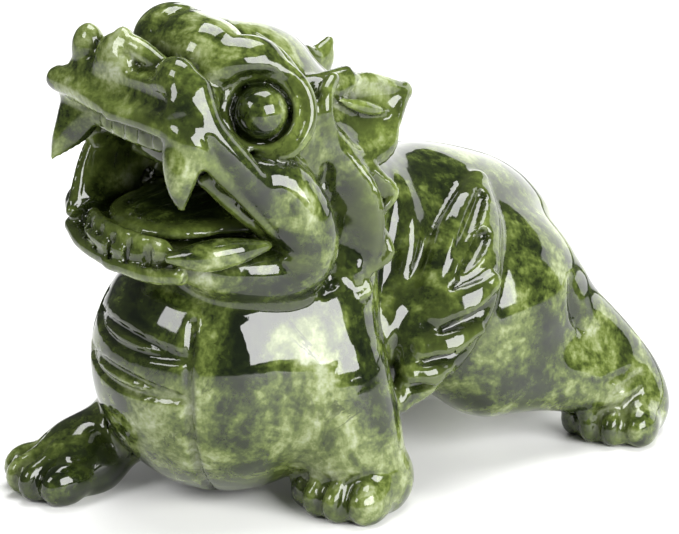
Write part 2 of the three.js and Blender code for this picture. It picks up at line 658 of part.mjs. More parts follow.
// Thin the skin by collapsing the edges that change its planes least
function thin({ points, triangles }, target) {
  const fans = points.map(() => []);
  const quadrics = points.map(() => new Float64Array(10));
  const version = new Int32Array(points.length);
  triangles.forEach((tri, id) => {
    const n = areaVector(...tri.map((v) => points[v]));
    const size = Math.hypot(...n);
    const u = times(n, 1 / Math.max(size, 1e-12));
    const w = -dot(u, points[tri[0]]);
    const plane = [...u, w];
    for (const v of tri) {
      fans[v].push(id);
      let q = 0;
      for (let i = 0; i < 4; i += 1) {
        for (let j = i; j < 4; j += 1) {
          quadrics[v][q] += plane[i] * plane[j] * size;
          q += 1;
        }
      }
    }
  });
  const error = (q, [x, y, z]) => q[0] * x * x + 2 * q[1] * x * y + 2 * q[2] * x * z + 2 * q[3] * x
    + q[4] * y * y + 2 * q[5] * y * z + 2 * q[6] * y + q[7] * z * z + 2 * q[8] * z + q[9];
  const plan = (a, b) => {
    const q = quadrics[a].map((v, i) => v + quadrics[b][i]);
    const rows = [[q[0], q[1], q[2]], [q[1], q[4], q[5]], [q[2], q[5], q[7]]];
    const middle = times(plus(points[a], points[b]), 0.5);
    const length = Math.hypot(...minus(points[a], points[b]));
    const soft = 1e-3 * (q[0] + q[4] + q[7]);
    const system = rows.map((row, i) => row.map((v, j) => (i === j ? v + soft : v)));
    const side = [-q[3], -q[6], -q[8]].map((v, i) => v + soft * middle[i]);
    const [c0, c1, c2] = [0, 1, 2].map((j) => system.map((row) => row[j]));
    const scale = dot(c0, cross(c1, c2));
    let spot = middle;
    if (Math.abs(scale) > 1e-12) {
      const best = [dot(side, cross(c1, c2)), dot(c0, cross(side, c2)), dot(c0, cross(c1, side))];
      const moved = times(best, 1 / scale);
      if (Math.hypot(...minus(moved, middle)) < length) spot = moved;
    }
    return { cost: error(q, spot) + 1e-4 * length * length, a, b, spot, q, va: version[a], vb: version[b] };
  };
  const around = (v) => new Set(fans[v].flatMap((id) => triangles[id]).filter((w) => w !== v));
  const heap = new Heap();
  triangles.forEach((tri) => {
    tri.forEach((v, i) => {
      const w = tri[(i + 1) % 3];
      if (v < w) heap.push(plan(v, w));
    });
  });
  const allowed = ({ a, b, spot }) => {
    const ringB = around(b);
    const shared = [...around(a)].filter((v) => ringB.has(v));
    if (shared.length !== 2) return false;
    for (const [own, other] of [[a, b], [b, a]]) {
      for (const id of fans[own]) {
        const tri = triangles[id];
        if (tri.includes(other)) continue;
        const before = areaVector(...tri.map((v) => points[v]));
        const corners = tri.map((v) => (v === own ? spot : points[v]));
        const after = areaVector(...corners);
        const size = Math.hypot(...after);
        if (dot(before, after) < 0.35 * Math.hypot(...before) * size) return false;
        const sides = corners.map((c, i) => minus(c, corners[(i + 1) % 3]));
        const spread = sides.reduce((sum, s) => sum + dot(s, s), 0);
        if (size < 0.06 * spread) return false;
      }
    }
    return true;
  };
  let left = triangles.length;
  while (left > target && heap.items.length > 0) {
    const move = heap.pop();
    const { a, b } = move;
    const fresh = version[a] === move.va && version[b] === move.vb && fans[a] !== null && fans[b] !== null;
    if (!fresh || !allowed(move)) continue;
    points[a] = move.spot;
    quadrics[a] = move.q;
    const gone = new Set(fans[b].filter((id) => triangles[id].includes(a)));
    for (const id of gone) {
      for (const v of triangles[id]) if (v !== b) fans[v] = fans[v].filter((t) => t !== id);
      triangles[id] = null;
      left -= 1;
    }
    for (const id of fans[b]) {
      if (gone.has(id)) continue;
      triangles[id] = triangles[id].map((v) => (v === b ? a : v));
      fans[a].push(id);
    }
    fans[b] = null;
    version[a] += 1;
    version[b] += 1;
    for (const v of around(a)) heap.push(plan(a, v));
  }
  return { points, triangles: triangles.filter((tri) => tri !== null) };
}

// A closed solid from points and triangles
function solidOf(wasm, points, triangles) {
  const slot = new Map();
  const kept = [];
  const triVerts = Uint32Array.from(triangles.flat(), (v) => {
    if (!slot.has(v)) {
      slot.set(v, kept.length);
      kept.push(points[v]);
    }
    return slot.get(v);
  });
  const vertProperties = Float32Array.from(kept.flat());
  return new wasm.Manifold(new wasm.Mesh({ numProp: 3, vertProperties, triVerts }));
}

// The block of air under the paws
function floorBlock(wasm) {
  const size = plus(minus(SKIN_HIGH, SKIN_LOW), [20, 20, 0]);
  const box = new THREE.BoxGeometry(...size);
  const middle = times(plus(SKIN_HIGH, SKIN_LOW), 0.5);
  box.translate(middle[0], middle[1], SOLE_LEVEL - size[2] / 2);
  box.deleteAttribute('normal');
  box.deleteAttribute('uv');
  const merged = mergeVertices(box);
  const place = merged.getAttribute('position');
  const points = [...Array(place.count).keys()].map((i) => [place.getX(i), place.getY(i), place.getZ(i)]);
  const index = [...merged.getIndex().array];
  const triangles = index.filter((_, i) => i % 3 === 0).map((_, i) => index.slice(3 * i, 3 * i + 3));
  return solidOf(wasm, points, triangles);
}

carveTrunk();
carveLegs();
carveTail();
carveSkull();
carveMouth();
carveFace();
carveEarsAndMane();
carveWings();
carveChestBands();

const wasm = await Module();
wasm.setup();
const thinned = thin(outerSkin(skin(measure())), TRIANGLES);
const stone = solidOf(wasm, thinned.points, thinned.triangles).subtract(floorBlock(wasm));
const mesh = stone.getMesh();

// The origin is the middle of the footprint, at the level of the soles
const geometry = new THREE.BufferGeometry();
geometry.setAttribute('position', new THREE.BufferAttribute(Float32Array.from(mesh.vertProperties), 3));
geometry.setIndex([...mesh.triVerts]);
geometry.computeBoundingBox();
const { min, max } = geometry.boundingBox;
geometry.translate(-(min.x + max.x) / 2, -(min.y + max.y) / 2, -SOLE_LEVEL);
geometry.computeVertexNormals();

const jade = new THREE.MeshStandardMaterial({ color: 0x5c6e38, roughness: 0.14, metalness: 0 });
const statue = new THREE.Mesh(geometry, jade);
statue.name = 'pixiu_statue';

const part = new THREE.Group();
part.name = 'jade_pixiu_statue';
part.add(statue);
export default part;
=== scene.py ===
"""Jade pixiu statue: one carved and polished stone, its finish and a plain studio.

The carving is worked out in millimetres, with the front along -Y and the animal's left along +X. The finished
mesh is in metres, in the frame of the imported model.
"""
import logging
import math
from dataclasses import dataclass, field
from enum import Enum
from typing import Protocol

import bpy
import numpy as np
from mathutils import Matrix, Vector


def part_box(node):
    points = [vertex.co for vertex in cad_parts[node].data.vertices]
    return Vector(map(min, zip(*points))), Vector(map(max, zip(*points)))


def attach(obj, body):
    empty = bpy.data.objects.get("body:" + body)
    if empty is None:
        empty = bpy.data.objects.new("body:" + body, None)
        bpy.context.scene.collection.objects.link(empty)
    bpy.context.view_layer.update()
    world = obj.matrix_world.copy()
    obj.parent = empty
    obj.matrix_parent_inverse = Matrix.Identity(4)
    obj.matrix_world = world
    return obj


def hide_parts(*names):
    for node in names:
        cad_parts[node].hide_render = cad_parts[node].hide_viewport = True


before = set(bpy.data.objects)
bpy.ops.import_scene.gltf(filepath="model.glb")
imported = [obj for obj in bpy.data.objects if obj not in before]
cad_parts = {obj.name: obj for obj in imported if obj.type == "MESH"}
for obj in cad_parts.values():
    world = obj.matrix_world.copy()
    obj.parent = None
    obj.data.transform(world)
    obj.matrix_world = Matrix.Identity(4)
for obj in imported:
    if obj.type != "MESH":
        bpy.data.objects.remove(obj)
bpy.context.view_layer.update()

NODE = "pixiu_statue"
BODY = "root"
MM = 0.001
IMAGE_SIZE = (679, 534)

Array = np.ndarray
Vec = tuple[float, float, float]
Path = tuple[Vec, ...]
log = logging.getLogger("jade_pixiu")


class Way(Enum):
    """What a stroke does to the stone."""

    ADD = 1
    CUT = -1


class Axis(Enum):
    """The axis that a stroke is turned about."""

    X = (1.0, 0.0, 0.0)
    Y = (0.0, 1.0, 0.0)
    Z = (0.0, 0.0, 1.0)


class Form(Protocol):
    """A shape that can say how far points are from its surface, less than 0 inside."""

    def reach(self) -> tuple[Array, Array]:
        """The lowest and highest corner of the shape."""

    def distance(self, points: Array) -> Array:
        """The distance of points from the surface."""


def turned(axis: Axis, degrees: float) -> Array:
    """A turn about an axis: cos on the plane, sin across it, and the axis itself kept.

    Args:
        axis: the axis to turn about.
        degrees: the angle, right-handed.

    Returns:
        The 3 x 3 matrix of the turn.
    """
    a = math.radians(degrees)
    x, y, z = axis.value
    across = np.array([[0, -z, y], [z, 0, -x], [-y, x, 0]])
    return np.eye(3) + math.sin(a) * across + (1 - math.cos(a)) * across @ across


def facing(normal: Array) -> Array:
    """Axes of a disc that faces along a normal, as columns: across, upward and outward.

    Args:
        normal: the way the disc faces, of unit length.

    Returns:
        A 3 x 3 matrix whose third column is the normal.
    """
    upward = np.array([0.0, 0.0, 1.0]) - normal[2] * normal
    upward /= np.linalg.norm(upward)
    return np.stack([np.cross(upward, normal), upward, normal], axis=1)


def curve(values: Array, steps: int) -> Array:
    """A Catmull-Rom curve through rows of values, each stretch a cubic with steps parts.

    Args:
        values: one row for each point that the curve passes through.
        steps: how many parts each stretch is divided into.

    Returns:
        The rows along the curve, the last point included.
    """
    padded = np.vstack([2 * values[0] - values[1], values, 2 * values[-1] - values[-2]])
    before, here, there, after = (padded[i:len(values) - 1 + i, None] for i in range(4))
    t = np.linspace(0, 1, steps, endpoint=False)[None, :, None]
    rows = 2 * here + (there - before) * t
    rows = rows + (2 * before - 5 * here + 4 * there - after) * t ** 2
    rows = rows + (3 * here - before - 3 * there + after) * t ** 3
    return np.vstack([0.5 * rows.reshape(-1, values.shape[1]), values[-1:]])


def oval_distance(scaled: Array, twice_scaled: Array) -> Array:
    """Distance from an oval by its first-order rule: k (k - 1) over the slope of k.

    Args:
        scaled: lengths of the offsets divided by the radii.
        twice_scaled: lengths of the offsets divided by the squared radii.

    Returns:
        The distances, less than 0 inside.
    """
    return scaled * (scaled - 1) / np.maximum(twice_scaled, 1e-6)


@dataclass
class Place:
    """Where strokes go: turned, or mirrored, about a pivot and then shifted."""

    turn: Array = field(default_factory=lambda: np.eye(3))
    pivot: Vec = (0.0, 0.0, 0.0)
    shift: Vec = (0.0, 0.0, 0.0)

    def points(self, points: Array | Path) -> Array:
        """Points put in this place."""
        pivot = np.array(self.pivot)
        return (np.asarray(points, float) - pivot) @ self.turn.T + pivot + np.array(self.shift)

    def directions(self, directions: Array | Path) -> Array:
        """Directions turned as this place is."""
        return np.asarray(directions, float) @ self.turn.T


class Egg:
    """An ellipsoid."""

    def __init__(self, centre: Array, radii: Array, turn: Array) -> None:
        """Keeps the centre, the three radii and the turn of the ellipsoid's axes."""
        self.centre = centre
        self.radii = radii
        self.turn = turn

    def reach(self) -> tuple[Array, Array]:
        """The corners: along each axis the root of the summed squares of the turned radii."""
        half = np.sqrt(((self.turn * self.radii) ** 2).sum(axis=1))
        return self.centre - half, self.centre + half

    def distance(self, points: Array) -> Array:
        """The distance of points from the ellipsoid."""
        local = (points - self.centre.astype(np.float32)) @ self.turn.astype(np.float32)
        radii = self.radii.astype(np.float32)
        once = np.sqrt(((local / radii) ** 2).sum(axis=-1))
        twice = np.sqrt(((local / radii ** 2) ** 2).sum(axis=-1))
        return oval_distance(once, twice)


class Limb:
    """A round or oval section carried along a curve, its half sizes changing on the way."""

    LEAST = 0.12

    def __init__(self, path: Array, wide: Array, thick: Array | None, flat: Array | None, steps: int) -> None:
        """Keeps the curve, its half widths and, for an oval section, half thicknesses and flat sides.

        Args:
            path: points that the curve passes through.
            wide: half width of the section at each point.
            thick: half thickness at each point, or None for a round section.
            flat: the direction of the thickness at each point, or None.
            steps: parts in each stretch of the curve.
        """
        self.path = curve(path, steps)
        self.wide = np.maximum(curve(wide[:, None], steps)[:, 0], self.LEAST)
        self.thick = None
        if thick is None:
            return
        self.thick = np.maximum(curve(thick[:, None], steps)[:, 0], self.LEAST)
        along = np.gradient(self.path, axis=0)
        along /= np.linalg.norm(along, axis=1, keepdims=True)
        flat = curve(flat, steps)
        flat = flat - (flat * along).sum(axis=1, keepdims=True) * along
        self.flat = flat / np.linalg.norm(flat, axis=1, keepdims=True)

    def reach(self) -> tuple[Array, Array]:
        """The corners: the curve's own, grown by the larger half size."""
        half = self.wide if self.thick is None else np.maximum(self.wide, self.thick)
        return (self.path - half[:, None]).min(axis=0), (self.path + half[:, None]).max(axis=0)

    def nearest(self, points: Array) -> tuple[Array, Array]:
        """The nearest place on the curve, kept from the closest of its straight parts.

        Args:
            points: rows of points.

        Returns:
            The squared distances, and the places as part number plus fraction.
        """
        best = np.full(len(points), 1e12, np.float32)
        spot = np.zeros(len(points), np.float32)
        for i, (a, b) in enumerate(zip(self.path[:-1], self.path[1:])):
            along = (b - a).astype(np.float32)
            offset = points - a.astype(np.float32)
            t = np.clip(offset @ along / max(float(along @ along), 1e-9), 0, 1)
            offset -= t[:, None] * along
            square = np.einsum("ij,ij->i", offset, offset)
            closer = square < best
            best[closer] = square[closer]
            spot[closer] = i + t[closer]
        return best, spot

    def distance(self, points: Array) -> Array:
        """The distance of points: from the curve less the half width, or from the oval section."""
        shape = points.shape[:-1]
        points = points.reshape(-1, 3).astype(np.float32)
        square, spot = self.nearest(points)
        part = np.minimum(spot.astype(int), len(self.path) - 2)
        t = spot - part

        def between(rows: Array) -> Array:
            """Rows of values between the ends of each point's part."""
            mix = t if rows.ndim == 1 else t[:, None]
            return (rows[part] * (1 - mix) + rows[part + 1] * mix).astype(np.float32)

        wide = between(self.wide)
        if self.thick is None:
            return (np.sqrt(square) - wide).reshape(shape)
        thick = between(self.thick)
        flat = between(self.flat)
        flat /= np.linalg.norm(flat, axis=1, keepdims=True)
        offset = points - between(self.path)
        depth = np.einsum("ij,ij->i", offset, flat) ** 2
        side = np.maximum(np.einsum("ij,ij->i", offset, offset) - depth, 0)
        once = np.sqrt(side / wide ** 2 + depth / thick ** 2)
        twice = np.sqrt(side / wide ** 4 + depth / thick ** 4)
        return oval_distance(once, twice).reshape(shape)


class Wedge:
    """The space in front of an edge, between an upper and a lower plane."""

    def __init__(self, corner: Array, upper: Array, lower: Array, soft: float, size: Array) -> None:
        """Keeps a point of the edge, the outward normals, the rounding of the edge and the reach."""
        self.corner = corner
        self.upper = upper / np.linalg.norm(upper)
        self.lower = lower / np.linalg.norm(lower)
        self.soft = soft
        self.size = size

    def reach(self) -> tuple[Array, Array]:
        """The corners: the reach forward of the edge, and a tenth of it behind."""
        return self.corner - self.size, self.corner + self.size * (1.0, 0.1, 1.0)

    def distance(self, points: Array) -> Array:
        """The larger of the distances from the two planes, rounded where they meet."""
        offset = points - self.corner.astype(np.float32)
        a = offset @ self.upper.astype(np.float32)
        b = offset @ self.lower.astype(np.float32)
        near = np.maximum(self.soft - np.abs(a - b), 0) / self.soft
        return np.maximum(a, b) + near * near * self.soft * 0.25


class Ground:
    """Everything below the level that the soles stand on."""

    FAR = 999.0

    def reach(self) -> tuple[Array, Array]:
        """The corners of the ground, wider than any statue."""
        return np.full(3, -self.FAR), np.array([self.FAR, self.FAR, 0.0])

    def distance(self, points: Array) -> Array:
        """The height of points."""
        return points[..., 2]


@dataclass(frozen=True)
class Lump:
    """An egg-shaped stroke: its centre, radii, blend with the stone and tilt about X in degrees."""

    centre: Vec
    radii: Vec
    blend: float
    way: Way = Way.ADD
    tilt: float = 0.0

    def form(self, place: Place) -> Egg:
        """The stroke's form, put in a place."""
        return Egg(place.points(self.centre), np.array(self.radii), place.turn @ turned(Axis.X, self.tilt))


@dataclass(frozen=True)
class Roll:
    """A stroke along a curve: half widths at its points and, where oval, half thicknesses and flat sides."""

    path: Path
    wide: tuple[float, ...]
    blend: float
    thick: tuple[float, ...] = ()
    flat: Vec | Path = ()
    way: Way = Way.ADD
    steps: int = 6

    def form(self, place: Place) -> Limb:
        """The stroke's form, put in a place."""
        path = place.points(self.path)
        wide = np.array(self.wide, float) * np.ones(len(path))
        if not self.thick:
            return Limb(path, wide, None, None, self.steps)
        flat = np.broadcast_to(place.directions(self.flat), path.shape)
        return Limb(path, wide, np.array(self.thick, float), flat, self.steps)


class Stone:
    """The block that strokes are laid on, one after another, each blended with what is there."""

    OUTSIDE = 50.0
    MARGIN = 2.0
    SLIDES = 8
    LONGEST_SLIDE = 1.5
    LEAST_SLOPE = 0.3

    def __init__(self) -> None:
        """Starts with no stroke."""
        self.strokes: list[tuple[Form, Way, float]] = []

    def put(self, form: Form, way: Way, blend: float) -> None:
        """Adds a form to the stone, or cuts it away, with a blend radius."""
        self.strokes.append((form, way, blend))

    def lay(self, place: Place, *strokes: Lump | Roll) -> None:
        """Lays strokes in a place, in order."""
        for stroke in strokes:
            self.put(stroke.form(place), stroke.way, stroke.blend)

    def score(self, place: Place, *grooves: Roll) -> None:
        """Cuts grooves along the surface: each path first slides along the slope, by its distance, to it.

        Args:
            place: the place of the grooves.
            grooves: round strokes whose paths run near the surface.
        """
        for groove in grooves:
            form = groove.form(place)
            for _ in range(self.SLIDES):
                slope = self.slope_at(form.path)
                slope /= np.maximum(np.linalg.norm(slope, axis=1, keepdims=True), self.LEAST_SLOPE)
                slide = np.clip(self.depth_at(form.path), -self.LONGEST_SLIDE, self.LONGEST_SLIDE)
                form.path = form.path - slide[:, None] * slope
            self.put(form, Way.CUT, groove.blend)

    @staticmethod
    def blended(depth: Array, other: Array, way: Way, blend: float) -> Array:
        """Smooth least of two distances: the least less h squared times a quarter of the blend.

        Args:
            depth: distances from the stone so far.
            other: distances from the new form.
            way: whether the form is added or cut away.
            blend: the radius of the rounding between the two.

        Returns:
            Distances from the stone with the form.
        """
        depth = depth * way.value
        near = np.maximum(blend - np.abs(depth - other), 0) / np.float32(blend)
        return (np.minimum(depth, other) - near * near * np.float32(blend * 0.25)) * way.value

    def limits(self, form: Form, blend: float) -> tuple[Array, Array]:
        """The box in which a form can change the stone."""
        low, high = form.reach()
        return low - blend - self.MARGIN, high + blend + self.MARGIN

    def depth_on(self, axes: list[Array]) -> Array:
        """The distance from the stone on a grid, each stroke worked out in its own box.

        Args:
            axes: grid lines along X, Y and Z.

        Returns:
            A three-dimensional array of distances.
        """
        depth = np.full([len(a) for a in axes], self.OUTSIDE, np.float32)
        for form, way, blend in self.strokes:
            low, high = self.limits(form, blend)
            box = tuple(slice(*np.searchsorted(a, (low[i], high[i]))) for i, a in enumerate(axes))
            lines = [a[s].astype(np.float32) for a, s in zip(axes, box)]
            if min(len(line) for line in lines) == 0:
                continue
            points = np.stack(np.meshgrid(*lines, indexing="ij"), axis=-1)
            depth[box] = self.blended(depth[box], form.distance(points), way, blend)
        return depth

    def depth_at(self, points: Array) -> Array:
        """The distance from the stone at rows of points."""
        points = points.astype(np.float32)
        depth = np.full(len(points), self.OUTSIDE, np.float32)
        for form, way, blend in self.strokes:
            low, high = self.limits(form, blend)
            near = np.flatnonzero(np.all((points > low) & (points < high), axis=1))
            if len(near):
                depth[near] = self.blended(depth[near], form.distance(points[near]), way, blend)
        return depth

    def slope_at(self, points: Array, step: float = 0.05) -> Array:
        """How the distance grows along X, Y and Z, by one-sided differences."""
        here = self.depth_at(points)
        return np.stack([self.depth_at(points + step * axis) - here for axis in np.eye(3)], axis=1) / step


class Skin:
    """The surface between inside and outside of a grid of distances.

    Every cell that the surface passes through gets one point for each patch of surface in it, at the mean of
    the crossings on the patch's edges, and every crossed grid edge gets a face between its four cells.
    """

    CORNERS = np.array([[c & 1, c >> 1 & 1, c >> 2 & 1] for c in range(8)])
    EDGES = tuple((a, a | bit) for bit in (1, 2, 4) for a in range(8) if not a & bit)
    FACES = ((0, 2, 6, 4), (1, 3, 7, 5), (0, 1, 5, 4), (2, 3, 7, 6), (0, 1, 3, 2), (4, 5, 7, 6))

    def __init__(self) -> None:
        """Works out the patches of all 256 cell patterns."""
        self.patch = np.zeros((256, 12), np.int64)
        self.count = np.zeros(256, np.int64)
        self.pinch = np.full(256, -1, np.int64)
        for pattern in range(256):
            self.sort_patches(pattern)

    def sort_patches(self, pattern: int) -> None:
        """Groups the crossed edges of one cell pattern into patches, joined across the cell's faces."""
        inside = [pattern >> c & 1 for c in range(8)]
        number = {frozenset(edge): i for i, edge in enumerate(self.EDGES)}
        group = {i: i for i, (a, b) in enumerate(self.EDGES) if inside[a] != inside[b]}

        def join(a: int, b: int) -> None:
            """Puts two edges in one group."""
            old, new = group[a], group[b]
            group.update({edge: new for edge, owner in group.items() if owner == old})

        doubtful = []
        for face, ring in enumerate(self.FACES):
            sides = [number[frozenset((ring[i], ring[(i + 1) % 4]))] for i in range(4)]
            crossed = [side for side in sides if side in group]
            if len(crossed) == 2:
                join(*crossed)
            elif len(crossed) == 4:
                doubtful.append(face)
                for i in range(4):
                    if inside[ring[i]]:
                        join(sides[i - 1], sides[i])
        owners = sorted(set(group.values()))
        for edge, owner in group.items():
            self.patch[pattern, edge] = owners.index(owner)
        self.count[pattern] = len(owners)
        if len(doubtful) == 1 and len(owners) == 1:
            self.pinch[pattern] = doubtful[0]

    def patterns(self, inside: Array) -> Array:
        """The pattern of every cell, with cells that pinch against each other turned to open up.

        Args:
            inside: whether each grid point is inside the stone.

        Returns:
            One pattern number for each cell.
        """
        nx, ny, nz = (n - 1 for n in inside.shape)
        pattern = np.zeros((nx, ny, nz), np.int64)
        for corner, (x, y, z) in enumerate(self.CORNERS):
            pattern |= inside[x:nx + x, y:ny + y, z:nz + z].astype(np.int64) << corner
        pinched = self.pinch[pattern]
        opened = np.zeros(pattern.shape, bool)
        for axis in range(3):
            low = tuple(slice(None, -1) if i == axis else slice(None) for i in range(3))
            high = tuple(slice(1, None) if i == axis else slice(None) for i in range(3))
            both = (pinched[low] == 2 * axis + 1) & (pinched[high] == 2 * axis)
            opened[low] |= both
            opened[high] |= both
        return np.where(opened, 255 - pattern, pattern)

    def points(self, axes: list[Array], depth: Array, pattern: Array, first: Array, total: int) -> Array:
        """The points of all patches, each the mean of the crossings on its edges."""
        cells = np.argwhere(self.count[pattern] > 0)
        kinds = pattern[tuple(cells.T)]
        starts = first[tuple(cells.T)]
        sums = np.zeros((total, 3))
        hits = np.zeros(total)
        for edge, (a, b) in enumerate(self.EDGES):
            crossed = (kinds >> a & 1) != (kinds >> b & 1)
            owner = starts[crossed] + self.patch[kinds[crossed], edge]
            ends = [cells[crossed] + self.CORNERS[c] for c in (a, b)]
            near, far = (depth[tuple(end.T)].astype(float) for end in ends)
            share = (near / (near - far))[:, None]
            spots = [np.stack([axes[i][end[:, i]] for i in range(3)], axis=1) for end in ends]
            crossing = spots[0] * (1 - share) + spots[1] * share
            for i in range(3):
                sums[:, i] += np.bincount(owner, crossing[:, i], total)
            hits += np.bincount(owner, minlength=total)
        return sums / hits[:, None]

    def faces(self, inside: Array, pattern: Array, first: Array, axis: int) -> Array:
        """The faces across all crossed grid edges along one axis, turned to point out of the stone."""
        u, w = (axis + 1) % 3, (axis + 2) % 3
        ends = []
        for lower in (True, False):
            box = [slice(1, -1)] * 3
            box[axis] = slice(None, -1) if lower else slice(1, None)
            ends.append(inside[tuple(box)])
        edges = np.argwhere(ends[0] != ends[1])
        outward = ends[0][tuple(edges.T)]
        edges[:, [u, w]] += 1
        ring = []
        for du, dw in ((-1, -1), (0, -1), (0, 0), (-1, 0)):
            cell = edges.copy()
            cell[:, u] += du
            cell[:, w] += dw
            corner = (-du << u) | (-dw << w)
            edge = self.EDGES.index((corner, corner | 1 << axis))
            spot = tuple(cell.T)
            ring.append(first[spot] + self.patch[pattern[spot], edge])
        quads = np.stack(ring, axis=1)
        quads[~outward] = quads[~outward, ::-1]
        return quads

    def draw(self, axes: list[Array], depth: Array) -> tuple[Array, Array]:
        """The skin of a grid of distances.

        Args:
            axes: grid lines along X, Y and Z.
            depth: distances at the grid points, less than 0 inside.

        Returns:
            The points of the skin and its four-sided faces.
        """
        inside = depth < 0
        pattern = self.patterns(inside)
        count = self.count[pattern]
        first = (np.cumsum(count.ravel()) - count.ravel()).reshape(count.shape)
        points = self.points(axes, depth, pattern, first, int(count.sum()))
        quads = np.vstack([self.faces(inside, pattern, first, axis) for axis in range(3)])
        return points, quads


def largest_shell(points: Array, quads: Array) -> tuple[Array, Array]:
    """Keeps the largest connected skin: labels spread as the least number over faces until they settle.

    Args:
        points: rows of points.
        quads: rows of four point numbers.

    Returns:
        The points and faces of the largest skin.
    """
    label = np.arange(len(points))
    while True:
        least = label[quads].min(axis=1)
        spread = label.copy()
        for i in range(4):
            np.minimum.at(spread, quads[:, i], least)
        spread = spread[spread]
        if np.array_equal(spread, label):
            break
        label = spread
    kept = label == np.bincount(label).argmax()
    number = np.cumsum(kept) - 1
    return points[kept], number[quads[kept[quads[:, 0]]]]


def settled(stone: Stone, points: Array, rounds: int = 2, longest: float = 0.4) -> Array:
    """Points moved onto the stone's surface: along the slope by distance over slope squared, in short steps.

    Args:
        stone: the stone that the points lie on.
        points: rows of points near its surface.
        rounds: how often they are moved.
        longest: the longest step.

    Returns:
        The moved points.
    """
    points = points.copy()
    for _ in range(rounds):
        depth = stone.depth_at(points).astype(float)
        slope = stone.slope_at(points)
        step = -depth[:, None] * slope / np.maximum((slope * slope).sum(axis=1, keepdims=True), 0.05)
        length = np.linalg.norm(step, axis=1, keepdims=True)
        points += step * np.minimum(1, longest / np.maximum(length, 1e-9))
    return points


MIRROR = np.diag([-1.0, 1.0, 1.0])
SIDES = (1, -1)


@dataclass
class Trunk:
    """Chest, back, rump and neck, run together softly."""

    chest: Lump = Lump((-0.4, -11.8, 24.5), (23.2, 24.3, 24), 1)
    back: Roll = Roll(
        ((0, -2, 35), (0, 12, 36.5), (0, 28, 34)), (19, 17, 18.5), 8, (17, 19.5, 20.5), (0, 0, 1))
    rump: Lump = Lump((0, 36.5, 31), (20.5, 26.3, 22), 6)
    neck: Roll = Roll(((0, -5, 56), (0, 5, 42)), (15, 17), 8)

    def carve(self, stone: Stone) -> None:
        """Lays the trunk."""
        stone.lay(Place(), self.chest, self.back, self.rump, self.neck)


@dataclass
class Paw:
    """A paw with a row of rounded toes, made at the origin and facing the front."""

    pad: Lump = Lump((0, 1, 4.2), (8, 9, 6.6), 3)
    toes: int = 4
    toe_pitch: float = 4.3
    toe_front: float = -6.2
    toe_stagger: float = 1.0
    toe_radii: Vec = (2.9, 4.6, 3.8)
    toe_height: float = 3.4
    toe_blend: float = 1.9
    cleft_radii: tuple[float, ...] = (0.3, 0.8, 0.8)
    cleft_spread: Vec = (0.8, 0.95, 1.05)
    cleft_line: tuple[tuple[float, float], ...] = ((-3.2, 9.4), (-7.6, 7.2), (-10.6, 2.6))
    cleft_blend: float = 0.6

    def carve(self, stone: Stone, spot: tuple[float, float], heading: float, side: int) -> None:
        """Lays a paw: middle toes stand forward of the outer ones, with a short cleft between neighbours.

        Args:
            stone: the stone to lay it on.
            spot: where the paw stands.
            heading: how far it is turned outward, in degrees.
            side: 1 for the left, -1 for the right.
        """
        turn = turned(Axis.Z, heading)
        place = Place(MIRROR @ turn if side < 0 else turn, shift=(spot[0], spot[1], 0.0))
        stone.lay(place, self.pad)
        for i in range(self.toes):
            t = i - (self.toes - 1) / 2
            front = self.toe_front - (self.toe_stagger if abs(t) < 1 else -self.toe_stagger)
            centre = (t * self.toe_pitch, front, self.toe_height)
            stone.lay(place, Lump(centre, self.toe_radii, self.toe_blend))
        for i in range(self.toes - 1):
            x = (i + 1 - self.toes / 2) * self.toe_pitch
            path = tuple((spread * x, y, z) for spread, (y, z) in zip(self.cleft_spread, self.cleft_line))
            stone.score(place, Roll(path, self.cleft_radii, self.cleft_blend, way=Way.CUT))


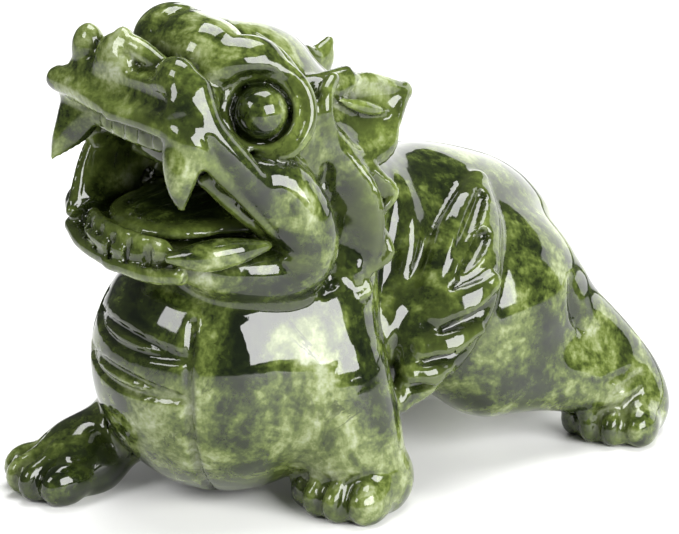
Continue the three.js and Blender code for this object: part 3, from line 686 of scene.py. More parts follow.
@dataclass
class Legs:
    """Four legs: the left fore one upright, the right fore one ahead, the hind ones folded at the haunch."""

    paw: Paw = field(default_factory=Paw)
    left_fore: Roll = Roll(
        ((13, -4, 31), (17, -4.5, 24), (20.5, -2.5, 13), (22, -1, 7)), (11.5, 11, 9.5, 8.2), 5)
    left_fore_paw: tuple[float, float] = (22, -1)
    right_fore: Roll = Roll(
        ((-13, -6, 27), (-17.5, -13, 15.5), (-18, -22, 8.6), (-18, -30, 6.3)), (10.5, 8.5, 6.8, 6.2), 5)
    right_fore_paw: tuple[float, float] = (-18, -33.2)
    fore_headings: tuple[float, float] = (8, 6)
    haunch: Lump = Lump((16, 37, 25.5), (12, 20, 17.2), 5, tilt=10)
    hind: Roll = Roll(((18, 50, 24), (22, 58.3, 16.6), (25.5, 63, 9), (26, 62, 5.5)), (8.4, 6.5, 6.2, 6.1), 3)
    shank: Roll = Roll(((17.5, 34, 17), (21, 46, 14.5), (25.2, 56, 10.5)), (9.6, 8.2, 6.8), 3)
    thigh_crease: Roll = Roll(
        ((25.8, 46.3, 32), (26.6, 46.1, 28.8), (26.9, 46.9, 25), (26.8, 48.7, 21.9)),
        (0.5, 1.2, 1.1, 0.3), 1.2, way=Way.CUT)
    ankle_lines: tuple[Path, ...] = (
        ((28.4, 52.6, 10.4), (31.4, 56.6, 11.8), (32.4, 60.4, 13)),
        ((29.4, 51.6, 12.4), (32, 55.2, 13.8), (32.6, 58.4, 15)),
    )
    ankle_radii: tuple[float, ...] = (0.4, 0.9, 0.4)
    ankle_blend: float = 0.8
    hind_paw: tuple[float, float] = (26, 60.8)
    hind_heading: float = 18
    right_hind_shift: float = -3

    def carve(self, stone: Stone) -> None:
        """Lays the legs, then their paws."""
        stone.lay(Place(), self.left_fore)
        self.paw.carve(stone, self.left_fore_paw, self.fore_headings[0], 1)
        stone.lay(Place(), self.right_fore)
        self.paw.carve(stone, self.right_fore_paw, self.fore_headings[1], -1)
        for side in SIDES:
            shift = 0.0 if side > 0 else self.right_hind_shift
            place = Place(MIRROR if side < 0 else np.eye(3), shift=(0.0, shift, 0.0))
            stone.lay(place, self.haunch, self.hind, self.shank)
            stone.score(place, self.thigh_crease)
            for path in self.ankle_lines:
                stone.score(place, Roll(path, self.ankle_radii, self.ankle_blend, way=Way.CUT))
            spot = (side * self.hind_paw[0], self.hind_paw[1] + shift)
            self.paw.carve(stone, spot, self.hind_heading, side)


@dataclass
class Tail:
    """A tail that lies down over the rump, with lines along it."""

    tail: Roll = Roll(
        ((2, 50, 39), (4, 55.6, 32.5), (6, 59.6, 25.5), (6.5, 60.8, 18), (5, 57.5, 10)),
        (4.2, 4.4, 4.4, 4, 3), 2)
    line: Roll = Roll(
        ((0, 56, 38.2), (1.2, 60.6, 31.6), (2.2, 64.2, 25.2), (2.6, 64.8, 17.4)), (0.4, 0.9, 0.9, 0.4), 0.6,
        way=Way.CUT)
    line_places: tuple[float, ...] = (1.6, 3.6, 5.6)

    def carve(self, stone: Stone) -> None:
        """Lays the tail and cuts its lines."""
        stone.lay(Place(), self.tail)
        for x in self.line_places:
            stone.score(Place(shift=(x, 0.0, 0.0)), self.line)


@dataclass
class HeadPose:
    """How the head is held: rolled to one side about a pivot in the neck."""

    roll: float = 5.0
    pivot: Vec = (0.0, -8.0, 60.0)

    def place(self, side: int = 1, shift: Vec = (0.0, 0.0, 0.0)) -> Place:
        """The place of strokes of the head's left side, or mirrored to its right."""
        turn = turned(Axis.Y, self.roll)
        return Place(turn @ MIRROR if side < 0 else turn, self.pivot, shift)


@dataclass
class Skull:
    """Cranium, blunt snout, jaw, cheeks and the folds that run from the nose round the mouth."""

    pose: HeadPose
    cranium: Lump = Lump((0, -9, 63), (18, 19.5, 17), 6)
    snout: Lump = Lump((0, -25, 73), (14, 10, 6.4), 4)
    snout_front: Roll = Roll(((-8.5, -30, 74.4), (8.5, -30, 74.4)), (6.2, 6.2), 1.5, (4.4, 4.4), (0, 0.3, 1))
    jaw: Roll = Roll(
        ((0, -8, 45.5), (0, -22, 46), (0, -27, 47.6)), (18, 16, 9.5), 4, (8, 6.6, 4.8), (0, 0, 1))
    chin: Lump = Lump((-1, -30.6, 48.8), (11, 6.4, 4.4), 2)
    cheek: Roll = Roll(
        ((16, -26, 63.5), (19, -16, 60.5), (20.3, -12, 52), (18.5, -13, 46), (15, -22, 45.6),
         (11, -28, 47.2)),
        (3, 5, 6.2, 6, 4.6, 3.6), 2.5)
    lip_slab: Roll = Roll(((-15.8, -35.7, 73), (0, -34.9, 73.2), (12, -33.6, 73)), (2.3, 2.5, 2.5), 1)
    muzzle: Lump = Lump((12, -31.4, 74.8), (4.4, 4.4, 4.6), 1.2)
    fold: Roll = Roll(
        ((13.2, -30, 77.5), (16, -29.4, 71.6), (18.9, -24, 64.4), (20.8, -18, 56.6)), (2.8, 3, 2.9, 2.2), 1.2)
    forehead: Roll = Roll(((-4.4, -21, 79.9), (4.4, -20.6, 79.4)), (6.9, 6.9), 1)
    crown: Lump = Lump((0, -9.5, 76), (9, 12, 6.6), 3)
    crest: Roll = Roll(((0, -15, 79.8), (0, -6, 77), (0, 5, 70.4), (0, 10.5, 63.5)), (4.8, 4.4, 3.8, 3), 2)
    notch: Roll = Roll(
        ((-2.4, -28.4, 82), (-2.2, -26.6, 84.8), (-2, -23, 87), (-1.6, -16, 86.4)), (0.4, 1.3, 1.1, 0.4), 0.4,
        way=Way.CUT)
    eye_groove: Roll = Roll(
        ((9.4, -29.4, 81.6), (13.4, -27.2, 75), (17, -24.6, 69.4), (20.2, -21.4, 64.4)),
        (0.5, 1, 1, 0.4), 0.7, way=Way.CUT)

    def carve(self, stone: Stone) -> None:
        """Lays the masses of the head."""
        middle = self.pose.place()
        stone.lay(middle, self.cranium, self.snout, self.snout_front, self.lip_slab, self.jaw, self.chin)
        for side in SIDES:
            stone.lay(self.pose.place(side), self.cheek, self.muzzle, self.fold)
        stone.lay(middle, self.crown, self.crest, self.forehead, self.notch)
        for side in SIDES:
            stone.score(self.pose.place(side), self.eye_groove)


@dataclass
class Mouth:
    """The open mouth: lips, teeth, fangs and tongue."""

    pose: HeadPose
    corner: Vec = (0, -15.5, 49.6)
    upper: Vec = (0, 0.702, 0.712)
    lower: Vec = (0, 0.02, -1)
    corner_soft: float = 2.0
    corner_blend: float = 1.0
    reach: Vec = (34, 40, 34)
    throat: Lump = Lump((0, -19, 56.5), (14, 10, 6.5), 2, Way.CUT)
    upper_lip: Roll = Roll(
        ((20.6, -16, 50.8), (19.8, -22, 57.6), (18.4, -29, 65.2), (16.6, -33.8, 70.6), (9, -35.8, 71.8),
         (-0.5, -36.6, 71.6)), (0.8, 1, 1.3, 1.6, 1.5, 1.4), 0.5, (0.8, 0.9, 1.1, 1.3, 1.2, 1.1),
        ((1, 0, 0.2), (1, -0.1, 0.2), (1, -0.4, 0.2), (0.6, -0.8, 0.1), (0.1, -1, 0.1), (0, -1, 0.1)))
    gum: Roll = Roll(((18.6, -17.5, 51.8), (17.2, -23, 57), (15, -29, 63)), (1.2, 1.3, 1.2), 0.8)
    far_cheek: Roll = Roll(
        ((16.2, -20, 67), (15.6, -22.2, 61), (15, -25, 56), (14, -27.4, 50.5)), (6, 6.8, 7, 7), 1.2,
        (1.9, 1.6, 1.6, 2), (1, 0.1, 0))
    upper_teeth: int = 6
    upper_pitch: float = 3.5
    lower_teeth: int = 6
    lower_pitch: float = 3.9
    upper_row: tuple[float, float] = (-33.6, 68.7)
    lower_row: tuple[float, float] = (-34.6, 49)
    upper_half: float = 2.3
    lower_half: float = 2.7
    upper_bow: float = 0.010
    lower_bow: float = 0.024
    tooth_thick: float = 1.3
    tooth_line: float = 0.7
    fang: Roll = Roll(
        ((14, -31.6, 70.5), (15, -33.6, 66.5), (16.2, -34.8, 62.5), (16.6, -34.6, 59.2)),
        (4.2, 3.3, 2, 0.4), 1.2)
    far_fang: Roll = Roll(
        ((12.4, -32.8, 70), (13, -34.4, 66), (14.2, -36.2, 62.4), (15, -37.4, 59.8)), (4.4, 3.6, 2, 0.4), 1,
        (2.6, 2.2, 1.4, 0.4), (0.25, 1, 0.2))
    tongue: Roll = Roll(
        ((0, -8, 51), (0, -16.5, 52), (0, -22.2, 51.8)), (15.5, 14.6, 11.6), 0.6, (3.4, 2.8, 2.3),
        (0, 0.05, 1))
    tongue_line: Roll = Roll(
        ((0, -13, 55.2), (0, -22, 54.8), (-0.5, -32, 53.4)), (0.8, 0.9, 0.7), 0.6, way=Way.CUT)
    tongue_folds: tuple[Path, ...] = (
        ((6, -13, 54.9), (6, -21, 54.4), (4.5, -29, 53.2)),
        ((-6, -13, 54.9), (-6, -21, 54.4), (-4.5, -29, 53.2)),
    )
    fold_radii: tuple[float, ...] = (0.4, 0.7, 0.3)
    fold_blend: float = 0.5
    lower_lip: Roll = Roll(
        ((14.8, -33, 47), (9, -34.8, 45.8), (-0.5, -35.6, 45.4)), (1.5, 1.4, 1.4), 0.6)
    lip_leaf: Roll = Roll(
        ((13.6, -34.4, 50), (16.6, -30.4, 50.4), (18.8, -25.5, 51), (20.6, -19.6, 51.6)),
        (0.9, 2.5, 2.4, 0.9), 0.6)
    leaf_groove: Roll = Roll(
        ((21, -19.4, 49.6), (20.6, -24, 47.6), (18.8, -28.6, 46.6), (15.6, -33, 46.8)),
        (0.4, 0.9, 0.9, 0.5), 0.5, way=Way.CUT)

    def carve(self, stone: Stone) -> None:
        """Cuts the mouth open, then lays lips, tongue and teeth in it."""
        middle = self.pose.place()
        wedge = Wedge(
            middle.points(self.corner), middle.directions(self.upper), middle.directions(self.lower),
            self.corner_soft, np.array(self.reach, float))
        stone.put(wedge, Way.CUT, self.corner_blend)
        stone.lay(middle, self.throat)
        stone.lay(self.pose.place(-1), self.far_cheek)
        for side in SIDES:
            place = self.pose.place(side)
            stone.lay(place, self.upper_lip, self.gum, self.lower_lip, self.lip_leaf, self.leaf_groove)
        stone.lay(middle, self.tongue, self.tongue_line)
        for path in self.tongue_folds:
            stone.lay(middle, Roll(path, self.fold_radii, self.fold_blend, way=Way.CUT))
        self.row(stone, self.upper_teeth, self.upper_pitch, self.upper_row, self.upper_half, self.upper_bow)
        self.row(stone, self.lower_teeth, self.lower_pitch, self.lower_row, self.lower_half, self.lower_bow)
        stone.lay(self.pose.place(1), self.fang)
        stone.lay(self.pose.place(-1), self.far_fang)

    def row(self, stone: Stone, teeth: int, pitch: float, spot: tuple[float, float], half: float,
            bow: float) -> None:
        """Lays a band of teeth, its ends back by bow times x squared, and cuts a line between neighbours.

        Args:
            stone: the stone to lay them on.
            teeth: how many.
            pitch: from one tooth to the next.
            spot: y and z of the band on the middle line.
            half: half the height of the band.
            bow: how fast the band lies back.
        """
        end = 0.5 * teeth * pitch - half
        band = tuple((x, spot[0] + bow * x * x, spot[1]) for x in np.linspace(-end, end, 7))
        stone.lay(self.pose.place(), Roll(band, (half,), 0.5, (self.tooth_thick,) * 7, (0, 1, 0)))
        for i in range(teeth - 1):
            x = (i - (teeth - 2) / 2) * pitch
            y = spot[0] + bow * x * x - self.tooth_thick
            path = ((x, y, spot[1] - half), (x, y, spot[1] + half))
            stone.lay(self.pose.place(), Roll(path, (self.tooth_line,), 0.2, way=Way.CUT))


@dataclass
class Nose:
    """A gabled middle lobe between two side lobes above a hollow front, with short lines at the nostrils."""

    pose: HeadPose
    gable: Roll = Roll(
        ((-4, -33.4, 77.6), (-4, -33, 80.6), (-3.6, -32, 83)), (5.2, 4, 1.5), 0.4, (2.6, 2.3, 1.5),
        (0, 1, 0.2))
    gable_back: Roll = Roll(((-3.6, -32.4, 82.4), (0, -31.4, 81.4), (4, -30, 79.6)), (1.5, 1.9, 1.6), 0.6)
    far_lobe: Lump = Lump((-11.8, -32.9, 79), (3.1, 2.7, 4.2), 0.6)
    near_lobe: Lump = Lump((9.8, -31.2, 78.4), (4.4, 3.4, 4.2), 1.2)
    hollow: Roll = Roll(
        ((-12, -38.4, 75.6), (-4, -38.4, 76.2), (4, -37.8, 76.4), (10.5, -36.4, 76.2)),
        (1.6, 3.2, 3.5, 2.2), 0.6, way=Way.CUT)
    line: Roll = Roll(
        ((4.5, -36.4, 0), (8, -35.8, 0.1), (11.5, -34.8, 0.4)), (0.3, 0.6, 0.3), 0.3, way=Way.CUT)
    line_levels: tuple[float, ...] = (75, 76.4, 77.8)

    def carve(self, stone: Stone) -> None:
        """Lays the lobes and cuts the hollow and the lines."""
        middle = self.pose.place()
        stone.lay(middle, self.far_lobe, self.near_lobe, self.gable, self.gable_back, self.hollow)
        for level in self.line_levels:
            lifted = tuple((x, y, z + level) for x, y, z in self.line.path)
            stone.lay(middle, Roll(lifted, self.line.wide, self.line.blend, way=Way.CUT))


@dataclass
class Eyes:
    """Round eyes in ringed sockets under leaf-shaped brows."""

    pose: HeadPose
    centre: Vec = (14.4, -17.3, 72.3)
    normal: Vec = (0.74, -0.56, 0.37)
    ball_radius: float = 4.6
    ball_out: float = 0.5
    socket_radii: Vec = (6.8, 6.8, 3.8)
    socket_out: float = 3.2
    lid_ring: Vec = (8.1, 1.3, 1.1)
    inner_ring: Vec = (6.1, 0.9, 1.2)
    under_line: Vec = (9.9, 0.5, 0.6)
    under_angles: tuple[float, float] = (-150, -30)
    ring_points: int = 25
    ring_blend: float = 0.5
    socket_blend: float = 1.0
    ball_blend: float = 0.25
    brow: Roll = Roll(
        ((7.5, -26, 77), (9.4, -21.5, 79.2), (13, -15.6, 78.8), (16, -11.4, 75), (17.2, -10, 69),
         (17, -9.5, 64)),
        (2, 3.2, 3, 2.6, 1.8, 1.2), 1)
    brow_leaf: Roll = Roll(
        ((7.2, -26, 79.2), (9.5, -21.8, 81.4), (12.6, -16.5, 81.6), (15.2, -12.5, 79)),
        (0.8, 3.2, 3.4, 1.2), 0.6, (0.8, 2, 2, 1), (0.45, -0.35, 0.8))
    brow_edge: Roll = Roll(
        ((8, -13.5, 83), (12, -11.6, 80.4), (15.4, -9.6, 75.6), (17.2, -8, 69.6), (17.4, -7.6, 63)),
        (0.8, 1.2, 1.3, 1.2, 0.8), 0.6)

    def ring(self, normal: Array, sizes: Vec, start: float = 0.0, end: float = 360.0,
             way: Way = Way.ADD) -> Roll:
        """A round bead about the eye: an arc in the disc that faces along the normal.

        Args:
            normal: the way the eye faces.
            sizes: radius of the ring, radius of the bead, and how far it stands out from the centre.
            start: angle at which the arc starts, in degrees.
            end: angle at which it ends.
            way: whether the bead is added or cut.

        Returns:
            The stroke.
        """
        radius, bead, out = sizes
        angles = np.radians(np.linspace(start, end, self.ring_points))
        disc = facing(normal)
        arc = np.outer(np.cos(angles), disc[:, 0]) + np.outer(np.sin(angles), disc[:, 1])
        points = np.array(self.centre) + normal * out + radius * arc
        return Roll(tuple(map(tuple, points)), (bead,), self.ring_blend, way=way, steps=2)

    def carve(self, stone: Stone) -> None:
        """Cuts the sockets and lays rings, balls and brows."""
        normal = np.array(self.normal) / np.linalg.norm(self.normal)
        centre = np.array(self.centre)
        for side in SIDES:
            place = self.pose.place(side)
            disc = place.turn @ facing(normal)
            socket = Egg(place.points(centre + normal * self.socket_out), np.array(self.socket_radii), disc)
            stone.lay(place, self.brow)
            stone.put(socket, Way.CUT, self.socket_blend)
            stone.lay(place, self.ring(normal, self.lid_ring), self.ring(normal, self.inner_ring))
            stone.score(place, self.ring(normal, self.under_line, *self.under_angles, Way.CUT))
            ball = Egg(place.points(centre + normal * self.ball_out), np.full(3, self.ball_radius), disc)
            stone.put(ball, Way.ADD, self.ball_blend)
            stone.lay(place, self.brow_leaf, self.brow_edge)


@dataclass
class Ears:
    """Pointed ears, the left one laid back with a hollow and a ridge in it, the right one upright."""

    pose: HeadPose
    blade: Roll = Roll(
        ((15, -4, 69), (15.8, 4, 68.6), (15, 9.5, 70), (14, 15, 71)), (8, 9, 5.8, 1.8), 1.2, (3, 2.5, 2, 1.4),
        (0.9, -0.1, 0.4))
    hollow: Roll = Roll(
        ((17.4, -2, 70.5), (18.4, 3.5, 69.6), (17.2, 8.5, 70.4), (16, 13, 71.4)), (3.5, 6.8, 4.6, 1), 0.4,
        (1.6, 2.8, 2, 0.6), (0.9, -0.1, 0.4), Way.CUT)
    ridge: Roll = Roll(((16.4, -2, 72.6), (16.6, 4, 70.4), (16.1, 9.6, 68.6)), (0.4, 1.2, 0.4), 0.4)
    curl: Roll = Roll(
        ((15.2, -2.5, 76), (16.8, -5.3, 74.2), (17.8, -6.1, 70.9), (17.5, -3.8, 66.8), (16.6, 1, 62.5)),
        (1.2, 1.4, 1.5, 1.4, 1), 0.8)
    right_blade: Roll = Roll(
        ((14.4, 2, 63), (13.8, 12, 66), (13.3, 19, 68.6), (13.2, 21.6, 72)), (7, 6.5, 4.4, 1), 1.2,
        (3, 2.5, 2, 1), (0.95, 0.1, 0.3))
    right_hollow: Roll = Roll(
        ((17, 4, 64), (16.2, 12, 66.4), (15.2, 18, 68.8), (14.6, 20.6, 71)), (3, 4.6, 3, 0.5), 0.4,
        (1.4, 2.2, 1.5, 0.4), (0.95, 0.1, 0.3), Way.CUT)

    def carve(self, stone: Stone) -> None:
        """Lays both ears."""
        stone.lay(self.pose.place(), self.blade, self.hollow, self.ridge, self.curl)
        stone.lay(self.pose.place(-1), self.right_blade, self.right_hollow)


@dataclass
class Mane:
    """A thin ruff behind each cheek with three points and a raised rim."""

    pose: HeadPose
    flat: Vec = (0.6, -0.75, 0.1)
    plate: Roll = Roll(
        ((15.5, -6, 62.5), (19, -1.4, 55), (19.9, -1.8, 47), (18.8, -4.4, 42.6)), (6, 6.4, 6, 4.4), 1.5,
        (2.2, 1.6, 1.6, 1.6), (0.6, -0.75, 0.1))
    roots: Path = ((17.6, -1.6, 59), (19.6, -1.8, 49.4), (19.8, -4, 43))
    tips: Path = ((22.2, 6.3, 56.8), (24.8, 3.9, 47), (24.4, -0.4, 40.8))
    point_wide: tuple[float, ...] = (5, 4.2, 0.4)
    point_thick: tuple[float, ...] = (1.6, 1.2, 0.6)
    point_blend: float = 0.8
    point_middle: float = 0.55
    rim: Roll = Roll(
        ((17.4, -1.8, 66), (19.9, 2, 61.4), (22.3, 6.5, 56.8), (22.1, 3.4, 52.4), (24.9, 4, 47),
         (23.2, 0.4, 43.4), (24.6, -0.5, 40.5), (21.4, -7, 39)), (0.9,), 0.4)
    crease: Roll = Roll(
        ((20, -6.4, 62), (23.4, -4.6, 54), (23, -5.4, 45), (19.6, -8.6, 40)), (0.8, 1.3, 1.3, 0.8), 0.8,
        way=Way.CUT)

    def carve(self, stone: Stone) -> None:
        """Lays the plate, its points and its rim, and cuts the crease behind the cheek."""
        for side in SIDES:
            place = self.pose.place(side)
            stone.lay(place, self.plate)
            for root, tip in zip(self.roots, self.tips):
                middle = tuple((1 - self.point_middle) * a + self.point_middle * b for a, b in zip(root, tip))
                path = (root, middle, tip)
                stone.lay(place, Roll(path, self.point_wide, self.point_blend, self.point_thick, self.flat))
            stone.lay(place, self.rim)
            stone.score(place, self.crease)


@dataclass
class Wings:
    """A folded wing on each flank: a leaf-shaped plate with flutes in front and stepped feathers behind."""

    root: Lump = Lump((17.5, 15, 27), (5.5, 8, 9), 3)
    plate: Roll = Roll(
        ((22.8, 7.6, 17.2), (22.6, 11.4, 20.8), (22.8, 16.2, 27), (22.8, 20.6, 34), (21, 24.6, 40.4),
         (17.6, 30.4, 46), (13, 35.4, 50)),
        (2, 4.8, 6.8, 7.4, 6.8, 5.2, 2), 1.5, (2, 2.4, 2.9, 2.9, 2.7, 2.3, 1.3),
        ((0.98, -0.1, 0), (0.97, -0.2, 0.05), (0.91, -0.39, 0.17), (0.86, -0.38, 0.34), (0.82, -0.2, 0.54),
         (0.75, 0.1, 0.65), (0.75, 0.1, 0.65)))
    steps: tuple[Path, ...] = (
        ((24.3, 18.2, 35.8), (26, 23.8, 38.2), (26.2, 30, 41.4)),
        ((25, 14.6, 28.8), (27.2, 19.8, 30.8), (28.6, 26, 32.8)),
        ((24.8, 11, 24), (26.6, 15.6, 24.8), (27.8, 22, 26)),
        ((24.4, 9, 20.2), (25, 12, 20), (25.2, 16.4, 19.8)),
    )
    step_radii: tuple[float, ...] = (0.5, 1.1, 1.4)
    flute_radii: tuple[float, ...] = (0.5, 1.6, 1.1)
    flute_stops: tuple[float, ...] = (0, 0.6, 1)
    cut_blend: float = 0.8
    feather_roots: Path = ((23.6, 9.6, 22.2), (23.9, 12.4, 26.6), (23.6, 16, 32.4))
    feather_tips: Path = ((25.2, 16, 22.4), (26.8, 21.2, 28.4), (26.2, 25, 36.2))
    feather_wide: tuple[float, ...] = (3, 3.8, 4.4)
    feather_taper: Vec = (0.75, 1, 0.55)
    feather_thick: Vec = (1.6, 2, 1.3)
    feather_flat: Vec = (0.84, -0.2, 0.62)
    feather_lift: Vec = (0.4, 0, 0)
    feather_blend: float = 0.7
    gap: Roll = Roll(
        ((12, 17, 54), (16.4, 13, 47.4), (18.4, 9.6, 39.6), (21, 6.4, 32), (24, 4.6, 24)),
        (1, 3, 3.2, 2.4, 0.8), 2, way=Way.CUT)
    flutes: tuple[Path, ...] = (
        ((23.9, 16.6, 37.1), (23.1, 20.6, 41.1), (20.7, 26.2, 45.5), (17.1, 31.8, 48.7)),
        ((24.3, 20, 37.7), (23.7, 23.6, 40.5), (22.1, 27.8, 43.1)),
    )

    def carve(self, stone: Stone) -> None:
        """Lays both wings and cuts the step under each feather and the flutes."""
        for side in SIDES:
            place = Place(MIRROR if side < 0 else np.eye(3))
            stone.lay(place, self.gap, self.root, self.plate)
            for root, tip, wide in zip(self.feather_roots, self.feather_tips, self.feather_wide):
                middle = tuple(0.5 * (a + b) + lift for a, b, lift in zip(root, tip, self.feather_lift))
                widths = tuple(wide * part for part in self.feather_taper)
                sizes = (widths, self.feather_blend, self.feather_thick, self.feather_flat)
                stone.lay(place, Roll((root, middle, tip), *sizes))
            for path in self.flutes:
                radii = np.interp(np.linspace(0, 1, len(path)), self.flute_stops, self.flute_radii)
                stone.lay(place, Roll(path, tuple(radii), self.cut_blend, way=Way.CUT))
            for path in self.steps:
                stone.lay(place, Roll(path, self.step_radii, self.cut_blend, way=Way.CUT))


@dataclass
class ChestBands:
    """Grooves on the chest: an edge down each side and pairs of lines across that meet at the edges."""

    trunk: Trunk
    edge_angle: float = 36.0
    edge_heights: tuple[float, float] = (30.0, -70.0)
    edge_groove: float = 0.85
    edge_points: int = 12
    band_heights: tuple[float, ...] = (19.0, 2.5)
    band_spread: float = 3.2
    band_drop: float = 4.0
    band_groove: float = 0.8
    band_points: int = 9
    band_gap: float = 1.0
    groove_blend: float = 0.3
    groove_steps: int = 3

    def on_chest(self, angles: Array, heights: Array) -> Path:
        """Points on the chest: its centre plus its radii along an angle round it and a height."""
        a, e = np.radians(angles), np.radians(heights)
        ways = np.stack([np.sin(a) * np.cos(e), -np.cos(a) * np.cos(e), np.sin(e)], axis=1)
        points = np.array(self.trunk.chest.centre) + ways * np.array(self.trunk.chest.radii)
        return tuple(map(tuple, points))

    def groove(self, stone: Stone, path: Path, radius: float) -> None:
        """Cuts one groove along a path.

        Args:
            stone: the stone to cut.
            path: points on the chest.
            radius: the radius of the groove.
        """
        stone.lay(Place(), Roll(path, (radius,), self.groove_blend, way=Way.CUT, steps=self.groove_steps))

    def carve(self, stone: Stone) -> None:
        """Cuts the grooves: the lines of a pair part by the cosine of the way across."""
        heights = np.linspace(*self.edge_heights, self.edge_points)
        for side in SIDES:
            path = self.on_chest(np.full(self.edge_points, side * self.edge_angle), heights)
            self.groove(stone, path, self.edge_groove)
        end = self.edge_angle - self.band_gap
        angles = np.linspace(-end, end, self.band_points)
        across = angles / self.edge_angle
        for height in self.band_heights:
            for half in (-1, 1):
                part = half * self.band_spread * np.cos(across * math.pi / 2)
                path = self.on_chest(angles, height - self.band_drop * across + part)
                self.groove(stone, path, self.band_groove)


@dataclass(frozen=True)
class ToneAndShadePatch:
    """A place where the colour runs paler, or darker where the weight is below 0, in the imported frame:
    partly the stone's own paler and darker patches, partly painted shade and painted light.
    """

    centre: Vec
    radius: float
    weight: float


